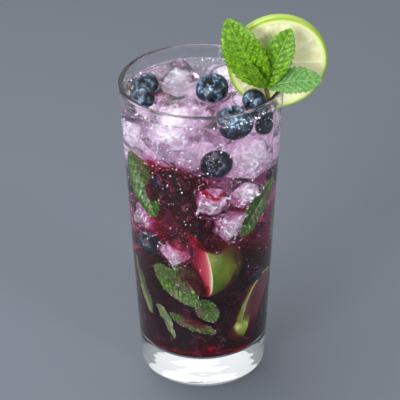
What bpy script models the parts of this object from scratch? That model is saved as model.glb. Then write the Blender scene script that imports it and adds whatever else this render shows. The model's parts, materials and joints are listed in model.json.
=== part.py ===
"""Blueberry mojito in a tall tumbler: glass, drink, ice and berries at the surface, a lime wheel on
the rim and a sprig of mint. Metres, +Z up, origin under the middle of the glass."""

import math
import random

import bmesh
import bpy
from mathutils import Matrix, Vector

MM = 0.001
GAP = 0.3 * MM

# The tumbler: a slightly flared wall on a thick flat foot, with a round rim.
GLASS_HEIGHT = 152 * MM
RIM_RADIUS = 38 * MM
FOOT_RADIUS = 30.25 * MM
WALL = 2.3 * MM
FLOOR_HEIGHT = 15.5 * MM
FOOT_ROUND = 3.0 * MM
FLOOR_ROUND = 5.0 * MM
GLASS_STEPS = 56
ROUND_STEPS = 4
RIM_ROUND_STEPS = 6

# The drink fills the tumbler to just under its rim.
DRINK_LEVEL = 145 * MM

# Blueberries that break the surface: centre, radius, and the way the crown points.
BERRIES = {
    "blueberry_left_back": ((-25.0, 5.9, 146.2), 5.7, (-0.55, -0.35, 0.75)),
    "blueberry_left_front": ((-26.0, -8.6, 146.6), 5.5, (-0.85, -0.30, 0.40)),
    "blueberry_middle": ((5.0, -2.6, 148.2), 7.6, (-0.35, -0.30, 0.88)),
    "blueberry_front": ((14.2, -22.6, 142.0), 7.5, (0.05, -0.25, 0.96)),
    "blueberry_right": ((23.9, -15.6, 148.8), 5.7, (-0.62, -0.74, -0.25)),
}
BERRY_SEGMENTS = 20
BERRY_RINGS = 12
BERRY_FLATTEN = 0.88
# The rings crowd towards the crown by this power, so that its crest falls on the third of them.
RING_CROWDING = 1.45
CROWN_POINTS = 5
CROWN_CREST = 0.42
CROWN_SPREAD = 0.10
CROWN_HEIGHT = 0.13
CROWN_LOWEST = 0.2
CRATER_EDGE = 0.30
CRATER_DEPTH = 0.15

# Ice cubes that stand above the surface: centre, side, and turn about X, Y and Z in degrees.
ICE = {
    "ice_back_left": ((-11.2, 17.8, 139.4), 17.5, (13, -11, 42)),
    "ice_front": ((-10.6, -15.2, 135.6), 19.6, (6, 9, 14)),
    "ice_back_right": ((12.6, 18.6, 139.6), 16.5, (-10, 12, 34)),
}
ICE_ROUND = 2.4 * MM
ICE_ROUND_STEPS = 3
ICE_UNEVEN = 0.9 * MM

# The lime wheel stands on the rim at the right, facing the front, with the wall in its slit.
LIME_CENTRE = Vector((34.5, -5.2, 163.4)) * MM
LIME_RADIUS = 22.8 * MM
LIME_THICK = 4.8 * MM
LIME_TURN = math.radians(6)
LIME_EDGE = 0.7 * MM
PEEL_WIDTH = 1.3 * MM
PITH_WIDTH = 1.5 * MM
CORE_RADIUS = 1.5 * MM
FLESH_RADIUS = LIME_RADIUS - PEEL_WIDTH - PITH_WIDTH
FLESH_SUNK = 0.35 * MM
LIME_SEGMENTS = 10
LIME_STEPS = 60
SLIT_DEPTH = 12 * MM

# The mint sprig: its leaves spring from one joint of the stem, which stands in the drink.
SPRIG_JOINT = Vector((28.9, -15.6, 155.2)) * MM
JOINT_RADIUS = 1.5 * MM
STEM_RADIUS = 1.0 * MM
STEM_PATH = (
    (28.9, -15.6, 155.6),
    (29.9, -13.6, 151.5),
    (30.8, -12.2, 146.0),
    (30.2, -12.4, 137.0),
    (28.6, -13.2, 128.0),
)
# Tip, greatest width, the way the upper face looks, how far the leaf arches out of its plane, and
# the share of its length where it is widest.
LEAVES = {
    "left": ((11.6, -13.2, 187.6), 18.0, (-0.25, -0.88, 0.35), 2.2, 0.52),
    "middle": ((39.6, -13.2, 183.0), 13.5, (-0.20, -0.90, 0.40), 1.6, 0.54),
    "right": ((53.6, -19.5, 161.6), 12.5, (-0.15, -0.62, 0.76), 2.0, 0.60),
    "young": ((21.2, -19.8, 169.6), 6.5, (-0.45, -0.80, 0.40), 1.2, 0.45),
}
LEAF_THICK = 0.55 * MM
LEAF_ALONG = 27
LEAF_ACROSS = 6
LEAF_BLUNTNESS = 0.62
LEAF_KEEL = 0.22
LEAF_WAVE = 0.25 * MM
LEAF_WAVES = 2.5
STALK_SHARE = 0.06
TOOTH_STEPS = 3
TOOTH_DEPTH = 0.05


def clear_scene():
    """Removes every object of the scene, so that only this model is in it."""
    for obj in list(bpy.data.objects):
        bpy.data.objects.remove(obj, do_unlink=True)


def new_collection(name):
    collection = bpy.data.collections.new(name)
    bpy.context.scene.collection.children.link(collection)
    return collection


def new_material(name, colour, roughness, alpha=1.0):
    material = bpy.data.materials.new(name)
    material.use_nodes = True
    shader = material.node_tree.nodes["Principled BSDF"]
    shader.inputs["Base Color"].default_value = (*colour, 1.0)
    shader.inputs["Roughness"].default_value = roughness
    shader.inputs["Metallic"].default_value = 0.0
    shader.inputs["Alpha"].default_value = alpha
    return material


def add_object(name, mesh, collection, material=None):
    obj = bpy.data.objects.new(name, mesh)
    collection.objects.link(obj)
    if material is not None:
        mesh.materials.clear()
        mesh.materials.append(material)
    return obj


def mesh_of(bm, name):
    """Writes a bmesh into a new mesh and frees it."""
    mesh = bpy.data.meshes.new(name)
    bm.to_mesh(mesh)
    bm.free()
    return mesh


def baked_mesh(obj, name):
    """The object's evaluated shape as a mesh of its own, with its loose caps welded."""
    bpy.context.view_layer.update()
    graph = bpy.context.evaluated_depsgraph_get()
    mesh = bpy.data.meshes.new_from_object(obj.evaluated_get(graph))
    mesh.transform(obj.matrix_world)
    mesh.name = name
    bm = bmesh.new()
    bm.from_mesh(mesh)
    bmesh.ops.remove_doubles(bm, verts=bm.verts, dist=0.005 * MM)
    bm.to_mesh(mesh)
    bm.free()
    return mesh


def bake_in_place(obj):
    """Replaces an object's modifiers by the shape that they give."""
    mesh = baked_mesh(obj, obj.name)
    obj.modifiers.clear()
    obj.data = mesh
    obj.matrix_world = Matrix.Identity(4)
    return obj


def turned(name, profile, steps, collection, material=None):
    """A profile of (radius, height) points turned about Z. It runs down the outer side."""
    mesh = bpy.data.meshes.new(name)
    points = [(radius, 0.0, height) for radius, height in profile]
    mesh.from_pydata(points, [(i, i + 1) for i in range(len(points) - 1)], [])
    obj = add_object(name, mesh, collection, material)
    screw = obj.modifiers.new("Turn", "SCREW")
    screw.axis = "Z"
    screw.steps = steps
    screw.render_steps = steps
    screw.use_merge_vertices = True
    screw.merge_threshold = 0.01 * MM
    return obj


def arc(centre, radius, start_deg, end_deg, steps=ROUND_STEPS):
    """Points of a profile's round corner, from one angle to another."""
    turns = [math.radians(start_deg + (end_deg - start_deg) * i / steps) for i in range(steps + 1)]
    return [(centre[0] + radius * math.cos(a), centre[1] + radius * math.sin(a)) for a in turns]


def shade_soft(obj, angle_deg=35):
    obj.data.shade_smooth()
    obj.data.set_sharp_from_angle(angle=math.radians(angle_deg))


def outer_radius(height):
    """The tumbler's outer radius at a height."""
    return FOOT_RADIUS + (RIM_RADIUS - FOOT_RADIUS) * height / GLASS_HEIGHT


def inner_radius(height):
    return outer_radius(height) - WALL


def make_glass(collection, material):
    """One turned solid: floor, inner wall, round rim, outer wall, and a flat foot with a round edge."""
    corner_height = FLOOR_HEIGHT + FLOOR_ROUND
    corner_centre = (inner_radius(corner_height) - FLOOR_ROUND, corner_height)
    rim_height = GLASS_HEIGHT - WALL / 2
    rim_centre = (outer_radius(rim_height) - WALL / 2, rim_height)
    foot_centre = (outer_radius(FOOT_ROUND) - FOOT_ROUND, FOOT_ROUND)
    profile = [(0.0, FLOOR_HEIGHT)]
    profile += arc(corner_centre, FLOOR_ROUND, -90, 0)
    profile += arc(rim_centre, WALL / 2, 180, 0, RIM_ROUND_STEPS)
    profile += arc(foot_centre, FOOT_ROUND, 0, -90)
    profile += [(0.0, 0.0)]
    return turned("glass", profile, GLASS_STEPS, collection, material)


def make_wall_cutter(collection):
    """The wall of the tumbler with a gap all round, which cuts the slit of the lime wheel."""
    low = GLASS_HEIGHT - SLIT_DEPTH
    high = GLASS_HEIGHT + GAP
    profile = [
        (inner_radius(low) - GAP, low),
        (inner_radius(high) - GAP, high),
        (outer_radius(high) + GAP, high),
        (outer_radius(low) + GAP, low),
        (inner_radius(low) - GAP, low),
    ]
    return turned("cut_wall", profile, GLASS_STEPS, collection)


def make_drink(collection, material):
    """The drink up to its level, a gap clear of the tumbler."""
    corner_height = FLOOR_HEIGHT + FLOOR_ROUND
    corner_centre = (inner_radius(corner_height) - FLOOR_ROUND, corner_height)
    profile = [(0.0, DRINK_LEVEL), (inner_radius(DRINK_LEVEL) - GAP, DRINK_LEVEL)]
    profile += arc(corner_centre, FLOOR_ROUND - GAP, 0, -90)
    profile += [(0.0, FLOOR_HEIGHT + GAP)]
    return turned("drink", profile, GLASS_STEPS, collection, material)


def berry_point(direction, radius):
    """A point of a blueberry's skin: a flattened ball with a five-pointed crown round a crater."""
    polar = math.acos(max(-1.0, min(1.0, direction.z)))
    around = math.atan2(direction.y, direction.x)
    polar = math.pi * (polar / math.pi) ** RING_CROWDING
    points = (1.0 + math.cos(CROWN_POINTS * around)) / 2
    crest = math.exp(-(((polar - CROWN_CREST) / CROWN_SPREAD) ** 2))
    crown = crest * (CROWN_LOWEST + (1.0 - CROWN_LOWEST) * points)
    crater = math.exp(-((polar / CRATER_EDGE) ** 4))
    reach = radius * (1.0 + CROWN_HEIGHT * crown - CRATER_DEPTH * crater)
    across = reach * math.sin(polar)
    height = reach * math.cos(polar) * BERRY_FLATTEN
    return Vector((across * math.cos(around), across * math.sin(around), height))


def make_berry(name, centre, radius, crown, collection, material):
    bm = bmesh.new()
    bmesh.ops.create_uvsphere(bm, u_segments=BERRY_SEGMENTS, v_segments=BERRY_RINGS, radius=1.0)
    for vert in bm.verts:
        vert.co = berry_point(vert.co.normalized(), radius * MM)
    obj = add_object(name, mesh_of(bm, name), collection, material)
    turn = Vector(crown).to_track_quat("Z", "Y").to_matrix().to_4x4()
    obj.matrix_world = Matrix.Translation(Vector(centre) * MM) @ turn
    shade_soft(obj, 50)
    return obj


def make_ice(name, centre, side, turn_deg, collection, material):
    """A melting cube: its corners are pushed about a little and its edges rounded."""
    rng = random.Random(name)
    bm = bmesh.new()
    bmesh.ops.create_cube(bm, size=side * MM)
    for vert in bm.verts:
        vert.co += Vector([rng.uniform(-ICE_UNEVEN, ICE_UNEVEN) for _ in range(3)])
    obj = add_object(name, mesh_of(bm, name), collection, material)
    bevel = obj.modifiers.new("Melted edges", "BEVEL")
    bevel.width = ICE_ROUND
    bevel.segments = ICE_ROUND_STEPS
    obj.location = Vector(centre) * MM
    obj.rotation_euler = [math.radians(a) for a in turn_deg]
    shade_soft(obj, 50)
    return obj


def flesh_relief(radius, around):
    """How far the cut face of a lime lies under its pith and membranes, for a point of the face."""
    if radius > FLESH_RADIUS - 0.2 * MM or radius < CORE_RADIUS + 0.1 * MM:
        return 0.0
    step = 2 * math.pi / LIME_SEGMENTS
    off_membrane = abs((around / step + 0.5) % 1.0 - 0.5) * step
    return FLESH_SUNK if off_membrane > step / 12 else 0.0


def make_lime_wheel(collection, material, cutters):
    """A slice of lime turned about its own axis, with sunk segments, and slit by the wall."""
    half = LIME_THICK / 2
    outer_flesh = FLESH_RADIUS - 1.2 * MM
    face = [0.0, CORE_RADIUS, 2 * CORE_RADIUS, outer_flesh / 2, outer_flesh, FLESH_RADIUS]
    face.append(LIME_RADIUS - LIME_EDGE)
    profile = [(radius, half) for radius in face]
    profile += [(LIME_RADIUS, half - LIME_EDGE), (LIME_RADIUS, LIME_EDGE - half)]
    profile += [(radius, -half) for radius in reversed(face)]
    wheel = bake_in_place(turned("lime_wheel", profile, LIME_STEPS, collection, material))
    for vert in wheel.data.vertices:
        radius = math.hypot(vert.co.x, vert.co.y)
        if abs(vert.co.z) > half - 0.01 * MM:
            sunk = flesh_relief(radius, math.atan2(vert.co.y, vert.co.x))
            vert.co.z -= math.copysign(sunk, vert.co.z)
    stand = Matrix.Rotation(LIME_TURN, 4, "Z") @ Matrix.Rotation(math.radians(90), 4, "X")
    wheel.data.transform(Matrix.Translation(LIME_CENTRE) @ stand)
    slit = wheel.modifiers.new("Slit", "BOOLEAN")
    slit.operation = "DIFFERENCE"
    slit.object = make_wall_cutter(cutters)
    bake_in_place(wheel)
    shade_soft(wheel)
    return wheel


def leaf_half_width(along, width, widest):
    """Half the width of a leaf at a share of its length: a blunt blade with teeth along its edge."""
    skew = math.log(0.5) / math.log(widest)
    body = math.sin(math.pi * along**skew) ** LEAF_BLUNTNESS
    tooth = round(along * LEAF_ALONG) % TOOTH_STEPS / TOOTH_STEPS
    return width / 2 * max(body * (1.0 + TOOTH_DEPTH * tooth), STALK_SHARE)


def make_leaf(name, tip, width, faces, arch, widest, collection):
    """A thin wavy leaf from the joint of the sprig to its tip, keeled along its midrib."""
    forward = Vector(tip) * MM - SPRIG_JOINT
    length = forward.length
    forward.normalize()
    side = forward.cross(Vector(faces)).normalized()
    normal = side.cross(forward).normalized()
    bm = bmesh.new()
    bmesh.ops.create_grid(bm, x_segments=LEAF_ALONG, y_segments=LEAF_ACROSS, size=1.0)
    for vert in bm.verts:
        along = (vert.co.x + 1) / 2
        across = vert.co.y
        half = leaf_half_width(along, width * MM, widest)
        keel = LEAF_KEEL * half * abs(across) ** 1.3
        wave = LEAF_WAVE * math.sin(2 * math.pi * LEAF_WAVES * along) * across**2
        bend = arch * MM * (math.sin(math.pi * along) - 0.8 * along**2)
        lift = keel + wave + bend
        vert.co = SPRIG_JOINT + forward * length * along + side * half * across + normal * lift
    bmesh.ops.triangulate(bm, faces=bm.faces)
    obj = add_object("leaf_" + name, mesh_of(bm, "leaf_" + name), collection)
    blade = obj.modifiers.new("Blade", "SOLIDIFY")
    blade.thickness = LEAF_THICK
    blade.offset = 0.0
    return bake_in_place(obj)


def make_stem(collection):
    curve = bpy.data.curves.new("stem", "CURVE")
    curve.dimensions = "3D"
    curve.resolution_u = 3
    curve.bevel_depth = STEM_RADIUS
    curve.bevel_resolution = 1
    curve.use_fill_caps = True
    spline = curve.splines.new("NURBS")
    spline.points.add(len(STEM_PATH) - 1)
    for point, place in zip(spline.points, STEM_PATH):
        point.co = (*(Vector(place) * MM), 1.0)
    spline.use_endpoint_u = True
    spline.order_u = 3
    guide = bpy.data.objects.new("stem_line", curve)
    collection.objects.link(guide)
    stem = add_object("stem", baked_mesh(guide, "stem"), collection)
    bpy.data.objects.remove(guide, do_unlink=True)
    return stem


def make_joint(collection):
    """The swollen joint of the stem, where the leaf stalks meet."""
    bm = bmesh.new()
    bmesh.ops.create_uvsphere(bm, u_segments=10, v_segments=7, radius=JOINT_RADIUS)
    bmesh.ops.translate(bm, verts=bm.verts, vec=SPRIG_JOINT)
    return add_object("joint", mesh_of(bm, "joint"), collection)


def make_sprig(collection, material):
    """Leaves, joint and stem fused into one solid."""
    pieces = new_collection("mint_pieces")
    stem = make_stem(pieces)
    make_joint(pieces)
    for name, (tip, width, faces, arch, widest) in LEAVES.items():
        make_leaf(name, tip, width, faces, arch, widest, pieces)
    sprig = add_object("mint_sprig", stem.data.copy(), collection, material)
    bpy.data.objects.remove(stem, do_unlink=True)
    fuse = sprig.modifiers.new("Fuse", "BOOLEAN")
    fuse.operation = "UNION"
    fuse.operand_type = "COLLECTION"
    fuse.solver = "MANIFOLD"
    fuse.collection = pieces
    bake_in_place(sprig)
    sprig.data.materials.clear()
    sprig.data.materials.append(material)
    for obj in list(pieces.objects):
        bpy.data.objects.remove(obj, do_unlink=True)
    bpy.data.collections.remove(pieces)
    shade_soft(sprig, 60)
    return sprig


def cut_round(drink, contents, cutters):
    """Cuts a pocket in the drink for each thing that breaks its surface, a gap wider than the thing."""
    pockets = new_collection("pockets")
    cutters.children.link(pockets)
    bpy.context.scene.collection.children.unlink(pockets)
    for obj in contents:
        pocket = add_object("cut_" + obj.name, baked_mesh(obj, "cut_" + obj.name), pockets)
        swell = pocket.modifiers.new("Gap", "DISPLACE")
        swell.mid_level = 0.0
        swell.strength = GAP
    cut = drink.modifiers.new("Pockets", "BOOLEAN")
    cut.operation = "DIFFERENCE"
    cut.operand_type = "COLLECTION"
    cut.solver = "MANIFOLD"
    cut.collection = pockets


def main():
    clear_scene()
    parts = new_collection("mojito")
    cutters = new_collection("cutters")
    glass_look = new_material("clear_glass", (0.95, 0.97, 0.98), 0.03, 0.3)
    drink_look = new_material("berry_drink", (0.45, 0.12, 0.28), 0.1, 0.7)
    ice_look = new_material("ice", (0.88, 0.86, 0.92), 0.1, 0.6)
    berry_look = new_material("blueberry_skin", (0.05, 0.08, 0.17), 0.45)
    lime_look = new_material("lime", (0.72, 0.80, 0.35), 0.4)
    mint_look = new_material("mint_leaf", (0.18, 0.45, 0.05), 0.45)

    glass = make_glass(parts, glass_look)
    drink = make_drink(parts, drink_look)
    contents = [make_lime_wheel(parts, lime_look, cutters), make_sprig(parts, mint_look)]
    for name, (centre, radius, crown) in BERRIES.items():
        contents.append(make_berry(name, centre, radius, crown, parts, berry_look))
    for name, (centre, side, turn_deg) in ICE.items():
        contents.append(make_ice(name, centre, side, turn_deg, parts, ice_look))
    cut_round(drink, contents, cutters)
    for cutter in cutters.all_objects:
        cutter.hide_render = True
        cutter.display_type = "WIRE"
    for obj in (glass, drink):
        shade_soft(obj)


main()
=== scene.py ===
"""The looks of a blueberry mojito in a tall tumbler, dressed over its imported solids."""

import json
import math
import random

import bmesh
import bpy
import numpy as np
from mathutils import Matrix, Vector, noise

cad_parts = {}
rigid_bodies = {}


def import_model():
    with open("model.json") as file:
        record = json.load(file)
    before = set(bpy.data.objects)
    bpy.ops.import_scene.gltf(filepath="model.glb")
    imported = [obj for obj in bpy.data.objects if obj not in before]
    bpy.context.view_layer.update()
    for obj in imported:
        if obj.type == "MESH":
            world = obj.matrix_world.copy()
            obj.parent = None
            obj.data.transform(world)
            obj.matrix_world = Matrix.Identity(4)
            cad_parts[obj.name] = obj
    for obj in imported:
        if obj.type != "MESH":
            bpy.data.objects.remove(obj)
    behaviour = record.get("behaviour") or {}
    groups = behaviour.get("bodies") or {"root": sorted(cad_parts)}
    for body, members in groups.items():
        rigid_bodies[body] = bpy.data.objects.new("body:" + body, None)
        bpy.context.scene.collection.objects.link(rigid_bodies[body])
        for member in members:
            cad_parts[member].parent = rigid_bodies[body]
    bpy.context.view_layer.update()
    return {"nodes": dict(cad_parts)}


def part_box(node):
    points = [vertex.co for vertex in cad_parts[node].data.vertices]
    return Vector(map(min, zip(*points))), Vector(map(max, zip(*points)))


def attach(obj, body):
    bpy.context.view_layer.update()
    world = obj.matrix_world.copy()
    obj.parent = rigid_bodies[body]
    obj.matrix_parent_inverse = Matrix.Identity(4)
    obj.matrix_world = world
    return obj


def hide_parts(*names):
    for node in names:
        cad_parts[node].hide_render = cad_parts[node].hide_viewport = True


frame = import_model()


# The camera: it stands three quarters of a metre in front of the glass and half a metre above the
# table, and looks down at the drink through a long lens.
MM = 0.001
CAMERA_PLACE = Vector((0.0, -774.97, 545.71)) * MM
CAMERA_DOWN = math.radians(30.576)
CAMERA_ASIDE = math.radians(0.069)
CAMERA_ROLL = math.radians(-0.472)
SENSOR_WIDTH = 36.0
LENS_LENGTH = 171.0
camera_data = bpy.data.cameras.new("camera")
camera_data.sensor_width = SENSOR_WIDTH
camera_data.lens = LENS_LENGTH
camera = bpy.data.objects.new("camera", camera_data)
bpy.context.scene.collection.objects.link(camera)
camera.matrix_world = (
    Matrix.Translation(CAMERA_PLACE)
    @ Matrix.Rotation(CAMERA_ASIDE, 4, "Z")
    @ Matrix.Rotation(math.radians(90) - CAMERA_DOWN, 4, "X")
    @ Matrix.Rotation(CAMERA_ROLL, 4, "Z")
)
bpy.context.scene.camera = camera


# The studio: a wide sheet of matt grey-blue board under a pale ceiling, with a soft box overhead, a
# lit card and a strip behind, and two boxes in front. Light passes many clear surfaces here.
BOARD_COLOUR = "#60666f"
CEILING_COLOUR = "#e3e8ee"
WALLS_STRENGTH = 0.48
CEILING_STRENGTH = 0.62
BOARD_SIZE = 6.0
# The foot of the glass touches the board at a few points, and air is under the rest.
BOARD_LOW = 0.1
# Place in metres, width and height in metres, power in watts.
SOFT_BOXES = {
    "overhead": ((-0.30, 0.10, 0.92), (1.10, 0.40), 7.6),
    "behind_card": ((0.0, 1.02, 0.74), (2.6, 0.44), 1.9),
    "behind_strip": ((0.06, 0.96, 0.64), (1.1, 0.10), 0.12),
    "front_left": ((-0.70, -0.95, 0.55), (0.42, 0.42), 12.5),
    "right": ((0.75, -0.75, 0.50), (0.25, 0.40), 4.5),
}
LIGHT_AIM = Vector((0.0, 0.0, 0.09))


def linear(hex_colour):
    """An sRGB hex colour turned to the linear values that shaders take."""
    parts = [int(hex_colour[i : i + 2], 16) / 255 for i in (1, 3, 5)]
    return (*[p / 12.92 if p <= 0.04045 else ((p + 0.055) / 1.055) ** 2.4 for p in parts], 1.0)


def new_material(name):
    """A material that holds nothing but its output."""
    material = bpy.data.materials.new(name)
    material.use_nodes = True
    material.node_tree.nodes.clear()
    material.node_tree.nodes.new("ShaderNodeOutputMaterial").name = "Out"
    return material


def add_node(material, kind, sockets=None, stops=(), **settings):
    """Adds a node. Its sockets take values, or the sockets that feed them; stops are a ramp's.
    A pattern lies on the piece in metres, so that its scale is a real one."""
    tree = material.node_tree
    node = tree.nodes.new("ShaderNode" + kind)
    if kind in ("TexNoise", "TexVoronoi"):
        tree.links.new(tree.nodes.new("ShaderNodeTexCoord").outputs["Object"], node.inputs["Vector"])
    for name, value in settings.items():
        setattr(node, name, value)
    for name, value in (sockets or {}).items():
        if isinstance(value, bpy.types.NodeSocket):
            tree.links.new(value, node.inputs[name])
        else:
            node.inputs[name].default_value = value
    for i, (place, colour) in enumerate(stops):
        ramp = node.color_ramp.elements
        stop = ramp[i] if i < len(ramp) else ramp.new(place)
        stop.position = place
        stop.color = colour
    return node


def dress(material, surface, volume=None):
    """Joins the last shaders of a material to its output."""
    out = material.node_tree.nodes["Out"]
    material.node_tree.links.new(surface.outputs[0], out.inputs["Surface"])
    if volume is not None:
        material.node_tree.links.new(volume.outputs[0], out.inputs["Volume"])


board = new_material("matt_board")
grain = add_node(board, "TexNoise", {"Scale": 900.0, "Detail": 3.0})
grain_bump = add_node(board, "Bump", {"Strength": 0.04, "Distance": 0.2 * MM, "Height": grain.outputs["Fac"]})
board_shader = add_node(
    board,
    "BsdfPrincipled",
    {"Base Color": linear(BOARD_COLOUR), "Roughness": 0.62, "Normal": grain_bump.outputs["Normal"]},
)
dress(board, board_shader)
board_mesh = bpy.data.meshes.new("table_board")
board_bm = bmesh.new()
bmesh.ops.create_grid(board_bm, x_segments=1, y_segments=1, size=BOARD_SIZE / 2)
board_bm.to_mesh(board_mesh)
board_bm.free()
board_mesh.materials.append(board)
table_board = bpy.data.objects.new("table_board", board_mesh)
table_board.location.z = -BOARD_LOW * MM
bpy.context.scene.collection.objects.link(table_board)

for box_name, (box_place, box_size, box_power) in SOFT_BOXES.items():
    lamp = bpy.data.lights.new(box_name, "AREA")
    lamp.shape = "RECTANGLE"
    lamp.size, lamp.size_y = box_size
    lamp.energy = box_power
    soft_box = bpy.data.objects.new("soft_box_" + box_name, lamp)
    soft_box.location = box_place
    soft_box.rotation_euler = (LIGHT_AIM - Vector(box_place)).to_track_quat("-Z", "Y").to_euler()
    bpy.context.scene.collection.objects.link(soft_box)

world = bpy.data.worlds.new("ceiling_light")
world.use_nodes = True
ceiling = world.node_tree.nodes["Background"]
ceiling.inputs["Color"].default_value = linear(CEILING_COLOUR)
way = add_node(world, "TexCoord")
way_parts = add_node(world, "SeparateXYZ", {"Vector": way.outputs["Generated"]})
upward = add_node(
    world,
    "MapRange",
    {"Value": way_parts.outputs["Z"], 1: 0.35, 2: 1.0, 3: WALLS_STRENGTH, 4: CEILING_STRENGTH},
)
world.node_tree.links.new(upward.outputs[0], ceiling.inputs["Strength"])
bpy.context.scene.world = world
bpy.context.scene.view_settings.view_transform = "Standard"
bpy.context.scene.cycles.max_bounces = 32
bpy.context.scene.cycles.transmission_bounces = 24
bpy.context.scene.cycles.transparent_max_bounces = 64
bpy.context.scene.cycles.volume_bounces = 2


# The tumbler: pressed soda-lime glass, fire polished to a mirror finish, with a slightly flared
# wall, a round rim and a thick heavy base. All else stands in it or on its rim.
GLASS_HEIGHT = 152.0
RIM_RADIUS = 38.0
FOOT_RADIUS = 30.25
WALL = 2.3
FLOOR_HEIGHT = 15.5
FLOOR_ROUND = 5.0
FOOT_ROUND = 3.0
DRINK_LEVEL = 145.0
TURN_STEPS = 192


def outer_radius(height):
    return FOOT_RADIUS + (RIM_RADIUS - FOOT_RADIUS) * height / GLASS_HEIGHT


def inner_radius(height):
    return outer_radius(height) - WALL


def arc(centre, radius, start_deg, end_deg, steps):
    """Points of a profile's round corner."""
    turns = np.radians(np.linspace(start_deg, end_deg, steps + 1))
    return [(centre[0] + radius * math.cos(a), centre[1] + radius * math.sin(a)) for a in turns]


def grid_mesh(name, grid, marks=None, wrap_columns=True):
    """A mesh over rows and columns of points in millimetres, welded where points coincide."""
    rows, columns = grid.shape[:2]
    index = np.arange(rows * columns).reshape(rows, columns)
    if wrap_columns:
        index = np.hstack([index, index[:, :1]])
    faces = np.stack([index[:-1, :-1], index[:-1, 1:], index[1:, 1:], index[1:, :-1]], -1)
    mesh = bpy.data.meshes.new(name)
    mesh.from_pydata((grid.reshape(-1, 3) * MM).tolist(), [], faces.reshape(-1, 4).tolist())
    for mark, values in (marks or {}).items():
        values = np.asarray(values, float)
        vector = values.ndim == 3
        layer = mesh.attributes.new(mark, "FLOAT_VECTOR" if vector else "FLOAT", "POINT")
        layer.data.foreach_set("vector" if vector else "value", values.ravel())
    bm = bmesh.new()
    bm.from_mesh(mesh)
    bmesh.ops.remove_doubles(bm, verts=bm.verts, dist=0.002 * MM)
    bmesh.ops.recalc_face_normals(bm, faces=bm.faces)
    bm.to_mesh(mesh)
    bm.free()
    return mesh


def turned(profile, steps=TURN_STEPS):
    """The grid of a profile of (radius, height) points turned about Z."""
    profile = np.array(profile)
    turns = np.linspace(0, 2 * math.pi, steps, endpoint=False)
    radius, height = profile[:, :1], profile[:, 1:]
    return np.stack([radius * np.cos(turns), radius * np.sin(turns), height + 0 * turns], -1)


def joined(name, meshes):
    """One mesh made of many, with the marks that all of them carry."""
    points, faces, marks = [], [], {}
    for mesh in meshes:
        start = len(points)
        points += [vert.co[:] for vert in mesh.vertices]
        faces += [[start + i for i in face.vertices] for face in mesh.polygons]
        for layer in mesh.attributes:
            if layer.data_type == "FLOAT" and layer.domain == "POINT":
                marks.setdefault(layer.name, []).extend(value.value for value in layer.data)
    whole = bpy.data.meshes.new(name)
    whole.from_pydata(points, [], faces)
    for mark, values in marks.items():
        whole.attributes.new(mark, "FLOAT", "POINT").data.foreach_set("value", values)
    return whole


def new_piece(name, mesh, material, slot, *nodes):
    """Links a mesh as a piece of the mojito, in its finish, in place of the CAD nodes named."""
    piece = bpy.data.objects.new(name, mesh)
    bpy.context.scene.collection.objects.link(piece)
    mesh.materials.clear()
    mesh.materials.append(material)
    mesh.shade_smooth()
    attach(piece, "root")
    if nodes:
        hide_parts(*nodes)
    return piece


def let_light_in(material, surface, tint):
    """Lets the lamps' light straight through a clear surface, so that it reaches what is behind."""
    path = add_node(material, "LightPath")
    clear = add_node(material, "BsdfTransparent", {"Color": tint})
    return add_node(
        material, "MixShader", {0: path.outputs["Is Shadow Ray"], 1: surface.outputs[0], 2: clear.outputs[0]}
    )


GLASS_IOR = 1.52
DRINK_IOR = 1.333


def glass_finish(name, ior, wave_size, waves, roughness=0.0):
    """Glass that is smooth but a little wavy, which bends what shows through it."""
    material = new_material(name)
    wavy = add_node(material, "TexNoise", {"Scale": 1 / (wave_size * MM), "Detail": 1.0})
    bump = add_node(material, "Bump", {"Strength": waves, "Distance": 0.3 * MM, "Height": wavy.outputs["Fac"]})
    shader = add_node(
        material,
        "BsdfPrincipled",
        {
            "Base Color": linear("#fbfdfd"),
            "Roughness": roughness,
            "IOR": ior,
            "Transmission Weight": 1.0,
            "Normal": bump.outputs["Normal"],
        },
    )
    dress(material, let_light_in(material, shader, linear("#f4f7f7")))
    return material


# Where the drink wets the glass, light bends and glints far less than where air meets it. The
# thick foot came out of the press wavier than the wall. The real rim is as smooth as the rest: it
# is made rougher here only so that it shows as a soft line and not as a hard dark one.
soda_lime_glass = glass_finish("soda_lime_glass", GLASS_IOR, 14.0, 0.25)
wetted_glass = glass_finish("wetted_soda_lime_glass", GLASS_IOR / DRINK_IOR, 14.0, 0.25)
foot_glass = glass_finish("pressed_glass_foot", GLASS_IOR, 11.0, 0.4)
rim_glass = glass_finish("softened_glass_rim", GLASS_IOR, 14.0, 0.25, roughness=0.22)

# The film of drink at the wall ends this high.
WET_HEIGHT = DRINK_LEVEL + 0.5
floor_corner = (inner_radius(FLOOR_HEIGHT + FLOOR_ROUND) - FLOOR_ROUND, FLOOR_HEIGHT + FLOOR_ROUND)
rim_height = GLASS_HEIGHT - WALL / 2
glass_profile = [(0.0, FLOOR_HEIGHT), (12.0, FLOOR_HEIGHT)]
glass_profile += arc(floor_corner, FLOOR_ROUND, -90, 0, 10)
glass_profile += [(inner_radius(z), z) for z in (*np.linspace(25, WET_HEIGHT, 12), 148)]
glass_profile += arc((outer_radius(rim_height) - WALL / 2, rim_height), WALL / 2, 180, 0, 16)
glass_profile += [(outer_radius(z), z) for z in np.linspace(148, 8, 14)]
glass_profile += arc((outer_radius(FOOT_ROUND) - FOOT_ROUND, FOOT_ROUND), FOOT_ROUND, 0, -90, 10)
glass_profile += [(12.0, 0.0), (0.0, 0.0)]
tumbler_mesh = grid_mesh("tumbler", turned(glass_profile))
tumbler = new_piece("tumbler", tumbler_mesh, soda_lime_glass, "clear_glass", "glass")
tumbler.data.materials.append(wetted_glass)
tumbler.data.materials.append(foot_glass)
tumbler.data.materials.append(rim_glass)
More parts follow.
